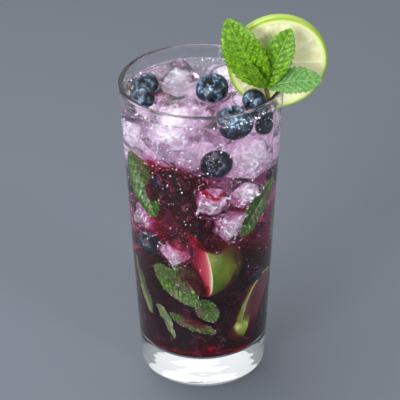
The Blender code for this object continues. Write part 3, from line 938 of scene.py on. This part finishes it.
def leaf_mesh(name, base, tip, width, faces, arch, widest, seed, rows=72, across=27, thick=0.5, bend_side=0.0):
    """A leaf from base to tip: faces is the way its upper side looks, arch its bow in millimetres."""
    base, tip = np.array(base, float), np.array(tip, float)
    length = np.linalg.norm(tip - base)
    forward = (tip - base) / length
    side = np.cross(forward, faces)
    side /= np.linalg.norm(side)
    up = np.cross(side, forward)
    along = np.linspace(0, 1, rows)[:, None]
    s_top = np.linspace(-1, 1, across)
    s = np.concatenate([s_top, s_top[::-1]])[None, :]
    under = np.concatenate([np.zeros(across), np.ones(across)])[None, :]
    body = np.sin(math.pi * along ** (math.log(0.5) / math.log(widest))).clip(0) ** 0.62
    half = width / 2 * np.maximum(body, 0.05 * (1 - along))
    tooth = (along * LEAF_TEETH + 0.1 * np.sign(s)) % 1.0
    reach = half * (1 + 0.15 * (tooth - 0.4) * np.abs(s) ** 8)
    origin = along - np.abs(s) * half / length * (0.65 + 0.5 * np.abs(s)) + 0.012 * np.sign(s)
    off_vein = np.abs((origin * LEAF_VEINS) % 1.0 - 0.5) * 2
    vein = np.exp(-(((1 - off_vein) * length / LEAF_VEINS / 2 / 0.42) ** 2)) * (1 - 0.6 * np.abs(s))
    rib = np.exp(-((s * half / 0.42) ** 2))
    lines = np.maximum(vein * 0.85, rib)
    place = base + forward * length * along[..., None]
    flat = place + side * (reach * s)[..., None]
    crumple = bumps(flat, 3.2, seed)
    domes = pucker_of(along * length + 0 * s, half * s, seed)
    quilt = (0.30 + 0.26 * domes) * (1 - lines) * (1 - np.abs(s) ** 6) * np.minimum(1, half / 3)
    quilt = quilt * (1 + 0.6 * crumple)
    wave = 0.35 * np.sin(2 * math.pi * 2.5 * along + seed) * s**2
    keel = 0.22 * half * np.abs(s) ** 1.3
    bow = arch * (np.sin(math.pi * along) - 0.8 * along**2)
    thickness = thick * (0.35 + 0.65 * np.sqrt(np.clip(1 - s**2, 0, 1))) * np.minimum(1, half / 1.0)
    lift = keel + wave + bow + quilt + np.where(under > 0, -0.5, 0.5) * thickness - 0.18 * lines * (1 - under)
    lift = lift - 0.22 * lines * under
    points = flat + up * lift[..., None] + side * (bend_side * np.sin(math.pi * along))[..., None]
    points[0] = points[0].mean(0)
    points[-1] = points[-1].mean(0)
    wide = np.ones_like(lift)
    marks = {"vein": vein, "rib": rib, "dome": domes, "under": under, "margin": np.abs(s)}
    return grid_mesh(name, points, {mark: values * wide for mark, values in marks.items()})


def leaf_material(name, groove_shade, blade_dark, blade_light, rib_colour, under_colour, shine, stain=None):
    """A living leaf: domes painted bright and veins and grooves painted dark, as light and shade on its quilting; a
    pale rib, a paler underside, a waxy shine.
    """
    material = new_material(name)
    blotches = add_node(material, "TexNoise", {"Scale": 1 / (1.6 * MM), "Detail": 6.0, "Roughness": 0.7})
    blade = add_node(
        material,
        "ValToRGB",
        {"Fac": blotches.outputs["Fac"]},
        stops=[(0.40, linear(blade_dark)), (0.62, linear(blade_light))],
    )
    dome = add_node(material, "Attribute", attribute_name="dome")
    vein = add_node(material, "Attribute", attribute_name="vein")
    # Painted shade darkens the veins and the grooves between the domes, and painted light brightens the domes.
    off_vein = add_node(material, "Math", {0: 1.0, 1: vein.outputs["Fac"]}, operation="SUBTRACT")
    dome_light_share = add_node(material, "MapRange", {"Value": dome.outputs["Fac"], 1: 0.0, 2: 0.6, 3: 0.25, 4: 1.0})
    painted_light_share = add_node(
        material, "Math", {0: off_vein.outputs[0], 1: dome_light_share.outputs[0]}, operation="MULTIPLY"
    )
    lit_and_shaded_quilt = add_node(
        material, "Mix", {0: painted_light_share.outputs[0], 6: linear(groove_shade), 7: blade.outputs[0]}, data_type="RGBA"
    )
    under = add_node(material, "Attribute", attribute_name="under")
    under_share = add_node(material, "Math", {0: under.outputs["Fac"], 1: 0.5}, operation="MULTIPLY")
    side = add_node(
        material, "Mix", {0: under_share.outputs[0], 6: lit_and_shaded_quilt.outputs[2], 7: linear(under_colour)}, data_type="RGBA"
    )
    rib = add_node(material, "Attribute", attribute_name="rib")
    rib_share = add_node(material, "MapRange", {"Value": rib.outputs["Fac"], 1: 0.4, 2: 1.0, 3: 0.0, 4: 0.6})
    ribbed = add_node(
        material, "Mix", {0: rib_share.outputs[0], 6: side.outputs[2], 7: linear(rib_colour)}, data_type="RGBA"
    )
    colour = ribbed.outputs[2]
    if stain is not None:
        wash = add_node(material, "TexNoise", {"Scale": 1 / (9 * MM), "Detail": 7.0, "Roughness": 0.75})
        wash_share = add_node(material, "MapRange", {"Value": wash.outputs["Fac"], 1: 0.50, 2: 0.60, 3: 0.0, 4: 0.8})
        colour = add_node(
            material, "Mix", {0: wash_share.outputs[0], 6: colour, 7: linear(stain)}, data_type="RGBA"
        ).outputs[2]
    bump = add_node(material, "Bump", {"Strength": 0.4, "Distance": 0.2 * MM, "Height": blotches.outputs["Fac"]})
    shader = add_node(
        material, "BsdfPrincipled", {"Base Color": colour, "Roughness": shine, "Normal": bump.outputs["Normal"]}
    )
    glow = add_node(material, "BsdfTranslucent", {"Color": colour, "Normal": bump.outputs["Normal"]})
    dress(material, add_node(material, "MixShader", {0: 0.28, 1: shader.outputs[0], 2: glow.outputs[0]}))
    return material


sunk_mint = leaf_material(
    "sunk_mint_leaf", "#0e2402", "#255206", "#6fa314", "#4f7f16", "#8a9268", 0.3, stain="#684640"
)
# Leaves in the drink: base, tip, width, upper side, bow, widest share, seed.
SUNK_LEAVES = {
    "left_upper": ((-30.5, -11.0, 122.0), (-20.0, -24.0, 94.0), 19.0, (-0.60, -0.78, 0.1), -2.0, 0.45, 1.0),
    "right_upper": ((31.6, -10.0, 107.5), (16.6, -26.4, 84.0), 11.0, (0.70, -0.70, 0.1), -2.2, 0.55, 2.0),
    "low_large": ((-20.8, -20.6, 66.5), (-1.2, -26.6, 46.0), 11.0, (-0.3, -0.9, 0.4), -1.5, 0.45, 3.0),
    "low_olive": ((-11.5, -21.5, 69.0), (-2.5, -24.4, 51.0), 11.0, (0.5, -0.8, 0.3), -1.0, 0.5, 4.0),
    "left_edge": ((-28.6, -7.5, 64.0), (-22.6, -16.5, 36.0), 7.0, (-0.4, 0.8, 0.2), 1.0, 0.6, 5.0),
    "foot_left": ((-20.0, -19.5, 43.5), (-12.6, -24.8, 27.0), 4.4, (0.5, 0.8, 0.2), 1.0, 0.4, 6.0),
    "foot_middle": ((-2.5, -26.5, 50.0), (6.0, -26.0, 38.0), 9.0, (0.0, -0.9, 0.4), -1.0, 0.5, 7.0),
    "foot_long": ((-15.0, -23.0, 40.0), (6.0, -25.0, 30.0), 6.0, (0.0, -0.8, 0.6), -1.0, 0.5, 8.0),
    "back_upper": ((10.0, 30.5, 118.0), (-6.0, 30.5, 92.0), 13.0, (0.1, 1.0, 0.0), -2.0, 0.5, 9.0),
    "back_left": ((-28.0, 12.0, 84.0), (-19.0, 23.0, 60.0), 12.0, (-0.7, 0.7, 0.0), -1.5, 0.5, 10.0),
    "back_right": ((27.5, 11.0, 76.0), (17.0, 23.0, 52.0), 12.0, (0.7, 0.7, 0.0), -1.5, 0.5, 11.0),
    "back_foot": ((-6.0, 27.0, 50.0), (10.0, 25.5, 34.0), 11.0, (0.0, 1.0, 0.1), -1.5, 0.5, 12.0),
    "right_side": ((31.0, 2.0, 96.0), (29.0, -6.0, 70.0), 9.0, (1.0, -0.1, 0.0), -1.5, 0.5, 13.0),
}
sunk_leaves = [
    leaf_mesh(leaf_name, *leaf, rows=60, across=23, thick=0.4) for leaf_name, leaf in SUNK_LEAVES.items()
]
new_piece("sunk_mint", pressed_inside(joined("sunk_mint", sunk_leaves), 0.5), sunk_mint, "mint")


# The muddled lime: wedges cut from pole to pole, with green peel, white pith and flesh that has
# drunk up the berry juice. They lie against the glass near the foot.
def wedge_mesh(name, centre, radius, long, spread_deg, long_axis, peel_way, soaked, seed):
    """A wedge of lime: long_axis runs from pole to pole and peel_way is where its peel looks."""
    rows = 48
    latitude = np.linspace(-math.pi / 2, math.pi / 2, rows)[:, None]
    spread = math.radians(spread_deg) / 2
    peel_turn = np.linspace(-spread, spread, 22)
    flesh_in = np.linspace(1, 0.03, 16)[1:]
    turn = np.concatenate([peel_turn, np.full(15, spread), np.full(15, -spread)])[None, :]
    out = np.concatenate([np.ones(22), flesh_in, flesh_in[::-1]])[None, :]
    body = radius * np.cos(latitude) ** 0.7
    sag = 1 - 0.10 * np.sin(math.pi * out) * (out < 0.999)
    grid_r = body * out
    x = grid_r * np.cos(turn * sag)
    y = grid_r * np.sin(turn * sag)
    z = long / 2 * np.sin(latitude) + 0 * x
    points = np.stack([x, y, z], -1)
    points = points + 0.25 * bumps(points, 3.0, seed)[..., None] * np.stack([x, y, 0 * z], -1) / radius
    zed = np.array(long_axis, float)
    zed /= np.linalg.norm(zed)
    ex = np.array(peel_way, float)
    ex = ex - zed * (ex @ zed)
    ex /= np.linalg.norm(ex)
    turn_matrix = np.stack([ex, np.cross(zed, ex), zed])
    points = (points - np.array([radius * 0.55, 0, 0])) @ turn_matrix + np.array(centre)
    wide = np.ones_like(x)
    inward = radius * (1 - out) * np.cos(latitude) * wide
    marks = {"inward": inward, "peel": (out > 0.999) * wide, "soaked": soaked * wide}
    return grid_mesh(name, points, marks)


# Lime peel is glossy, green and pitted with oil glands; the flesh is a pack of wet juice sacs.
muddled_lime = new_material("muddled_lime")
lime_glands = add_node(muddled_lime, "TexVoronoi", {"Scale": 1 / (1.2 * MM)}, feature="SMOOTH_F1")
lime_clouds = add_node(muddled_lime, "TexNoise", {"Scale": 1 / (7 * MM), "Detail": 3.0})
peel_colour = add_node(
    muddled_lime,
    "ValToRGB",
    {"Fac": lime_clouds.outputs["Fac"]},
    stops=[(0.35, linear("#375c04")), (0.65, linear("#6b7806"))],
)
inward = add_node(muddled_lime, "Attribute", attribute_name="inward")
flesh_colour = add_node(
    muddled_lime,
    "ValToRGB",
    {"Fac": add_node(muddled_lime, "Math", {0: inward.outputs["Fac"], 1: 6.0}, operation="DIVIDE").outputs[0]},
    stops=[
        (0.0, linear("#7d9a2c")),
        (0.12, linear("#d8dca0")),
        (0.42, linear("#eedcbe")),
        (0.60, linear("#e2b096")),
        (1.0, linear("#cf8a7c")),
    ],
)
is_peel = add_node(muddled_lime, "Attribute", attribute_name="peel")
lime_colour = add_node(
    muddled_lime,
    "Mix",
    {0: is_peel.outputs["Fac"], 6: flesh_colour.outputs[0], 7: peel_colour.outputs[0]},
    data_type="RGBA",
)
lime_bump = add_node(
    muddled_lime, "Bump", {"Strength": 0.4, "Distance": 0.2 * MM, "Height": lime_glands.outputs["Distance"]}
)
soaked = add_node(muddled_lime, "Attribute", attribute_name="soaked")
in_flesh = add_node(muddled_lime, "MapRange", {"Value": inward.outputs["Fac"], 1: 0.7, 2: 1.6, 3: 0.0, 4: 1.0})
soak_flesh = add_node(
    muddled_lime, "Math", {0: soaked.outputs["Fac"], 1: in_flesh.outputs[0]}, operation="MULTIPLY"
)
soak_share = add_node(
    muddled_lime, "Math", {0: soak_flesh.outputs[0], 1: lime_clouds.outputs["Fac"]}, operation="ADD"
)
soak = add_node(muddled_lime, "MapRange", {"Value": soak_share.outputs[0], 1: 0.62, 2: 0.95, 3: 0.0, 4: 0.92})
soaked_colour = add_node(
    muddled_lime, "Mix", {0: soak.outputs[0], 6: lime_colour.outputs[2], 7: linear("#4a0a1e")}, data_type="RGBA"
)
lime_shader = add_node(
    muddled_lime,
    "BsdfPrincipled",
    {"Base Color": soaked_colour.outputs[2], "Roughness": 0.35, "Normal": lime_bump.outputs["Normal"]},
)
dress(muddled_lime, lime_shader)
# Centre, radius, length, spread in degrees, long axis, way of the peel, how soaked, seed.
LIME_WEDGES = {
    "front": ((5.0, -17.8, 66.0), 20.0, 35.0, 66, (-0.10, 0.0, 1.0), (0.87, -0.50, 0.0), 0.0, 1.0),
    "foot_right": ((15.8, -18.6, 28.4), 7.0, 14.5, 70, (0.45, 0.1, 1.0), (-0.1, -1.0, 0.1), 0.30, 2.0),
    "right_edge": ((18.0, -11.5, 39.0), 14.0, 36.0, 55, (0.23, 0.30, 0.93), (-0.80, -0.60, 0.0), 0.60, 3.0),
    "back": ((-3.0, 18.0, 40.0), 17.0, 38.0, 60, (1.0, 0.2, 0.4), (0.1, 1.0, 0.1), 0.1, 4.0),
    "back_left": ((-13.0, 13.0, 48.0), 15.0, 34.0, 60, (0.2, 0.4, 1.0), (-0.7, 0.7, 0.0), 0.6, 5.0),
}
wedges = [wedge_mesh(wedge_name, *wedge) for wedge_name, wedge in LIME_WEDGES.items()]
new_piece("lime_wedges", pressed_inside(joined("lime_wedges", wedges), 0.5), muddled_lime, "lime")


# The bubbles: gas from the sparkling water, clinging to the glass, the ice and the fruit, and
# gathered in a broken ring where the drink meets the wall.
BUBBLE_SEED = 7


def bubble_mesh(name, centres, radii, fineness=1):
    """Many small balls joined into one mesh."""
    bm = bmesh.new()
    bmesh.ops.create_icosphere(bm, subdivisions=fineness, radius=1.0)
    bm.verts.ensure_lookup_table()
    ball = np.array([v.co[:] for v in bm.verts])
    ball_faces = np.array([[v.index for v in f.verts] for f in bm.faces])
    bm.free()
    points = np.asarray(centres)[:, None, :] + ball[None] * np.asarray(radii)[:, None, None]
    faces = ball_faces[None] + (np.arange(len(radii)) * len(ball))[:, None, None]
    mesh = bpy.data.meshes.new(name)
    mesh.from_pydata((points.reshape(-1, 3) * MM).tolist(), [], faces.reshape(-1, 3).tolist())
    return mesh


# A bubble throws back nearly all the light that meets it; here each is painted as a white bead, most solid in its
# middle, a painted reflection.
gas_bubble = new_material("gas_bubble")
bubble_edge = add_node(gas_bubble, "LayerWeight", {"Blend": 0.4})
painted_glint_share = add_node(gas_bubble, "MapRange", {"Value": bubble_edge.outputs["Facing"], 3: 0.92, 4: 0.35})
bubble_shader = add_node(
    gas_bubble,
    "BsdfPrincipled",
    {"Base Color": linear("#ffffff"), "Roughness": 0.08, "IOR": 2.0, "Alpha": painted_glint_share.outputs[0]},
)
dress(gas_bubble, bubble_shader)

draws = np.random.default_rng(BUBBLE_SEED)
WALL_BUBBLES = 1300
wall_z = 56 + 88 * draws.random(WALL_BUBBLES) ** 0.5
wall_turn = 2 * math.pi * draws.random(WALL_BUBBLES)
wall_size = 0.12 + 0.36 * draws.random(WALL_BUBBLES) ** 4
wall_r = inner_radius(wall_z) - wall_size - 0.1 - 9.0 * draws.random(WALL_BUBBLES) ** 2
wall_centres = np.stack([wall_r * np.cos(wall_turn), wall_r * np.sin(wall_turn), wall_z], -1)
new_piece("wall_bubbles", bubble_mesh("wall_bubbles", wall_centres, wall_size), gas_bubble, "drink")

RING_BUBBLES = 150
ring_turn = 2 * math.pi * draws.random(RING_BUBBLES)
ring_size = 0.16 + 0.36 * draws.random(RING_BUBBLES) ** 3
ring_r = inner_radius(DRINK_LEVEL) - ring_size - 2.6 * draws.random(RING_BUBBLES) ** 2
ring_x, ring_y = ring_r * np.cos(ring_turn), ring_r * np.sin(ring_turn)
ring_centres = np.stack([ring_x, ring_y, surface_height(ring_x, ring_y) - 0.1 * ring_size], -1)
new_piece("ring_bubbles", bubble_mesh("ring_bubbles", ring_centres, ring_size, 2), gas_bubble, "drink")

# Those that cling: about each berry, on the edges of the ice and of the leaves, and to the syrup.
BERRY_BUBBLES = 40
ICE_BUBBLES = 60
LEAF_BUBBLES = 40
SYRUP_BUBBLES = 40
cling_centres, cling_sizes = [], []
for centre, size, _ in [*SURFACE_BERRIES.values(), *SUNK_BERRIES.values()]:
    way = draws.normal(size=(BERRY_BUBBLES, 3))
    way /= np.linalg.norm(way, axis=1)[:, None]
    bubble = 0.10 + 0.22 * draws.random(BERRY_BUBBLES) ** 2
    cling_centres.append(np.array(centre) + way * (size * np.array([0.97, 0.97, 0.94]) + 0.5 * bubble[:, None]))
    cling_sizes.append(bubble)


def cling_to(verts, count, smallest, largest):
    """Bubbles on some of a mesh's points."""
    chosen = [verts[i] for i in draws.integers(0, len(verts), count)]
    bubble = smallest + (largest - smallest) * draws.random(count) ** 2
    spots = np.array([vert.co[:] for vert in chosen]) / MM
    cling_centres.append(spots + np.array([vert.normal[:] for vert in chosen]) * bubble[:, None])
    cling_sizes.append(bubble)


for cube in cubes:
    edged = [vert for vert, mark in zip(cube.vertices, cube.attributes["edge"].data) if mark.value > 0.5]
    cling_to(edged, ICE_BUBBLES, 0.12, 0.38)
for leaf in sunk_leaves:
    rim_of_leaf = [vert for vert, mark in zip(leaf.vertices, leaf.attributes["margin"].data) if mark.value > 0.97]
    cling_to(rim_of_leaf, LEAF_BUBBLES, 0.08, 0.24)
cling_to([vert for vert in syrup_mesh.vertices if vert.co.z > 112 * MM], SYRUP_BUBBLES, 0.14, 0.42)
cling_centres, cling_sizes = np.concatenate(cling_centres), np.concatenate(cling_sizes)
in_drink = cling_centres[:, 2] < DRINK_LEVEL - 0.6
clinging = bubble_mesh("clinging_bubbles", cling_centres[in_drink], cling_sizes[in_drink])
new_piece("clinging_bubbles", pressed_inside(clinging, 0.4), gas_bubble, "drink")


# The lime wheel: a fresh slice across a lime, slit to its middle and pushed over the rim. Green
# peel, pale pith, and ten wedges of wet flesh held apart by white membranes.
WHEEL_CENTRE = (34.5, -5.2, 163.4)
WHEEL_RADIUS = 22.8
WHEEL_THICK = 4.8
WHEEL_TURN = 6.0
PEEL_WIDTH = 1.3
PITH_WIDTH = 1.5
CORE_RADIUS = 1.5
WHEEL_SEGMENTS = 10
SLIT_GAP = 0.3
FLESH_RADIUS = WHEEL_RADIUS - PEEL_WIDTH - PITH_WIDTH


def wheel_face(radius, around, seed):
    """How deep a cut face lies, and how far a point is into the flesh, for points of the face."""
    step = 2 * math.pi / WHEEL_SEGMENTS
    bent = around + 0.05 * np.sin(3 * around + seed)
    aside = np.abs((bent / step + 0.5) % 1.0 - 0.5) * step
    off_membrane = radius * np.sin(aside)
    off_pith = FLESH_RADIUS - radius
    corner = np.minimum(off_membrane, np.minimum(off_pith, radius - CORE_RADIUS))
    flesh = np.clip((corner - 0.25) / 0.5, 0, 1)
    sacs = np.stack([radius * 0.30, bent * 9.0, seed + 0 * radius], -1)
    cells = bumps(sacs, 1.0) + 0.5 * bumps(sacs * 2.3, 1.0)
    return 0.24 * flesh - 0.07 * flesh * cells, flesh, cells


wheel_r = np.concatenate([np.linspace(0, FLESH_RADIUS + 0.4, 70), np.linspace(20.6, 22.1, 5)])[:, None]
wheel_a = np.linspace(0, 2 * math.pi, 300, endpoint=False)[None, :]
sides = []
for facing, seed in ((1, 1.0), (-1, 6.0)):
    depth, flesh, cells = wheel_face(wheel_r + 0 * wheel_a, wheel_a + 0 * wheel_r, seed)
    height = facing * (WHEEL_THICK / 2 - depth)
    side_points = np.stack([wheel_r * np.cos(wheel_a), wheel_r * np.sin(wheel_a), height], -1)
    sides.append((side_points, flesh, cells, wheel_r + 0 * wheel_a))
rim_turn = np.linspace(0, 1, 12)[1:-1, None]
rim_out = WHEEL_RADIUS - 0.7 * np.abs(2 * rim_turn - 1) ** 4
rim_points = np.stack(
    [rim_out * np.cos(wheel_a), rim_out * np.sin(wheel_a), WHEEL_THICK * (0.5 - rim_turn) + 0 * wheel_a], -1
)
rim_zero = 0 * (rim_turn + wheel_a)
wheel_points = np.concatenate([sides[0][0], rim_points, sides[1][0][::-1]])
wheel_marks = {
    "flesh": np.concatenate([sides[0][1], rim_zero, sides[1][1][::-1]]),
    "sacs": np.concatenate([sides[0][2], rim_zero, sides[1][2][::-1]]),
    "radial": np.concatenate([sides[0][3], rim_zero + WHEEL_RADIUS, sides[1][3][::-1]]),
}
stand = Matrix.Rotation(math.radians(WHEEL_TURN), 3, "Z") @ Matrix.Rotation(math.radians(90), 3, "X")
wheel_points = wheel_points @ np.array(stand).T + np.array(WHEEL_CENTRE)
wheel_mesh = grid_mesh("lime_wheel_slice", wheel_points, wheel_marks)

slit_low, slit_high = GLASS_HEIGHT - 12, GLASS_HEIGHT + SLIT_GAP
slit_profile = [
    (inner_radius(slit_low) - SLIT_GAP, slit_low),
    (inner_radius(slit_high) - SLIT_GAP, slit_high),
    (outer_radius(slit_high) + SLIT_GAP, slit_high),
    (outer_radius(slit_low) + SLIT_GAP, slit_low),
    (inner_radius(slit_low) - SLIT_GAP, slit_low),
]
slit_cutter = loose_object("slit_cutter", grid_mesh("slit_cutter", turned(slit_profile)))
wheel_obj = loose_object("wheel", wheel_mesh)
slit = wheel_obj.modifiers.new("Slit", "BOOLEAN")
slit.operation = "DIFFERENCE"
slit.object = slit_cutter
slit.solver = "MANIFOLD"
bpy.context.view_layer.update()
wheel_mesh = bpy.data.meshes.new_from_object(wheel_obj.evaluated_get(bpy.context.evaluated_depsgraph_get()))
for used in (wheel_obj, slit_cutter):
    bpy.data.objects.remove(used, do_unlink=True)

# Wet cut lime: light goes into the juice sacs and glows there.
cut_lime = new_material("cut_lime")
radial = add_node(cut_lime, "Attribute", attribute_name="radial")
radial_share = add_node(cut_lime, "Math", {0: radial.outputs["Fac"], 1: WHEEL_RADIUS}, operation="DIVIDE")
ring_colour = add_node(
    cut_lime,
    "ValToRGB",
    {"Fac": radial_share.outputs[0]},
    stops=[
        (0.0, linear("#eeeecb")),
        (0.87, linear("#eaedc0")),
        (0.925, linear("#dfe69a")),
        (0.955, linear("#a4c23c")),
        (0.975, linear("#84a828")),
        (1.0, linear("#9fb84a")),
    ],
)
flesh_mark = add_node(cut_lime, "Attribute", attribute_name="flesh")
sac_mark = add_node(cut_lime, "Attribute", attribute_name="sacs")
sac_share = add_node(cut_lime, "MapRange", {"Value": sac_mark.outputs["Fac"], 1: -0.6, 2: 0.6})
sac_colour = add_node(
    cut_lime,
    "ValToRGB",
    {"Fac": sac_share.outputs[0]},
    stops=[(0.0, linear("#e9e4aa")), (0.5, linear("#eeeab8")), (1.0, linear("#f5f2cc"))],
)
wheel_colour = add_node(
    cut_lime,
    "Mix",
    {0: flesh_mark.outputs["Fac"], 6: ring_colour.outputs[0], 7: sac_colour.outputs[0]},
    data_type="RGBA",
)
wheel_glands = add_node(cut_lime, "TexVoronoi", {"Scale": 1 / (1.0 * MM)}, feature="SMOOTH_F1")
wheel_bump = add_node(
    cut_lime, "Bump", {"Strength": 0.25, "Distance": 0.15 * MM, "Height": wheel_glands.outputs["Distance"]}
)
wheel_shader = add_node(
    cut_lime,
    "BsdfPrincipled",
    {
        "Base Color": wheel_colour.outputs[2],
        "Roughness": 0.3,
        "Subsurface Weight": 0.35,
        "Subsurface Radius": (3.0 * MM, 3.0 * MM, 1.2 * MM),
        "Subsurface Scale": 1.0,
        "Normal": wheel_bump.outputs["Normal"],
    },
)
dress(cut_lime, wheel_shader)
new_piece("lime_slice", wheel_mesh, cut_lime, "lime", "lime_wheel")


# The sprig: a stem of fresh mint with its leaves still on, stood in the drink in front of the
# wheel. The stem is reddish brown at the joint where the leaves spring.
SPRIG_JOINT = (28.9, -15.6, 155.2)
SPRIG_LEAVES = {
    "left": ((11.6, -13.2, 187.6), 18.0, (-0.25, -0.88, 0.35), 2.2, 0.52),
    "middle": ((39.6, -13.2, 183.0), 13.5, (-0.20, -0.90, 0.40), 1.6, 0.54),
    "right": ((53.6, -19.5, 161.6), 12.5, (-0.15, -0.62, 0.76), 2.0, 0.60),
    "young": ((21.2, -19.8, 169.6), 6.5, (-0.45, -0.80, 0.40), 1.2, 0.45),
}
STEM_PATH = (
    (28.9, -15.6, 155.6),
    (29.9, -13.6, 151.5),
    (30.8, -12.2, 146.0),
    (30.2, -12.4, 137.0),
    (28.6, -13.2, 128.0),
)
fresh_mint = leaf_material("fresh_mint_leaf", "#3a7004", "#5f9d0a", "#a6d61c", "#a4cc48", "#8fc27a", 0.42)
# The lowest leaf is painted paler and bluer, as a painted sheen of sky light on it.
sheen_painted_mint = leaf_material("mint_leaf_painted_sheen", "#4f8a34", "#6ba548", "#9ecb7e", "#a9cf8c", "#8fc27a", 0.5)
for leaf_name, (tip, width, faces, arch, widest) in SPRIG_LEAVES.items():
    mesh = leaf_mesh(leaf_name, SPRIG_JOINT, tip, width, faces, arch, widest, len(leaf_name), rows=90, across=35)
    # The right leaf takes the paler colours of the painted sheen.
    leaf_finish = sheen_painted_mint if leaf_name == "right" else fresh_mint
    new_piece("sprig_leaf_" + leaf_name, mesh, leaf_finish, "mint", "mint_sprig")

mint_stem = new_material("mint_stem")
stem_streaks = add_node(mint_stem, "TexNoise", {"Scale": 1 / (2 * MM), "Detail": 3.0})
stem_colour = add_node(
    mint_stem,
    "ValToRGB",
    {"Fac": stem_streaks.outputs["Fac"]},
    stops=[(0.35, linear("#5a2b1c")), (0.7, linear("#7f8a2c"))],
)
stem_place = add_node(mint_stem, "TexCoord")
stem_height = add_node(mint_stem, "SeparateXYZ", {"Vector": stem_place.outputs["Object"]})
steeped = add_node(
    mint_stem, "MapRange", {"Value": stem_height.outputs["Z"], 1: DRINK_LEVEL * MM, 2: (DRINK_LEVEL - 4) * MM}
)
# Under the drink the stem is washed pale and stained by the berries.
steeped_colour = add_node(
    mint_stem, "Mix", {0: steeped.outputs[0], 6: stem_colour.outputs[0], 7: linear("#b79fae")}, data_type="RGBA"
)
stem_shader = add_node(mint_stem, "BsdfPrincipled", {"Base Color": steeped_colour.outputs[2], "Roughness": 0.45})
dress(mint_stem, stem_shader)
stem_curve = bpy.data.curves.new("stem", "CURVE")
stem_curve.dimensions = "3D"
stem_curve.bevel_depth = 1.0 * MM
stem_curve.bevel_resolution = 4
stem_curve.use_fill_caps = True
stem_line = stem_curve.splines.new("NURBS")
stem_line.points.add(len(STEM_PATH) - 1)
for stem_point, path_point in zip(stem_line.points, STEM_PATH):
    stem_point.co = (*(Vector(path_point) * MM), 1.0)
stem_line.use_endpoint_u = True
stem_line.order_u = 3
stem_obj = loose_object("stem", stem_curve)
bpy.context.view_layer.update()
stem_mesh = bpy.data.meshes.new_from_object(stem_obj.evaluated_get(bpy.context.evaluated_depsgraph_get()))
bpy.data.objects.remove(stem_obj, do_unlink=True)
new_piece("sprig_stem", stem_mesh, mint_stem, "mint", "mint_sprig")
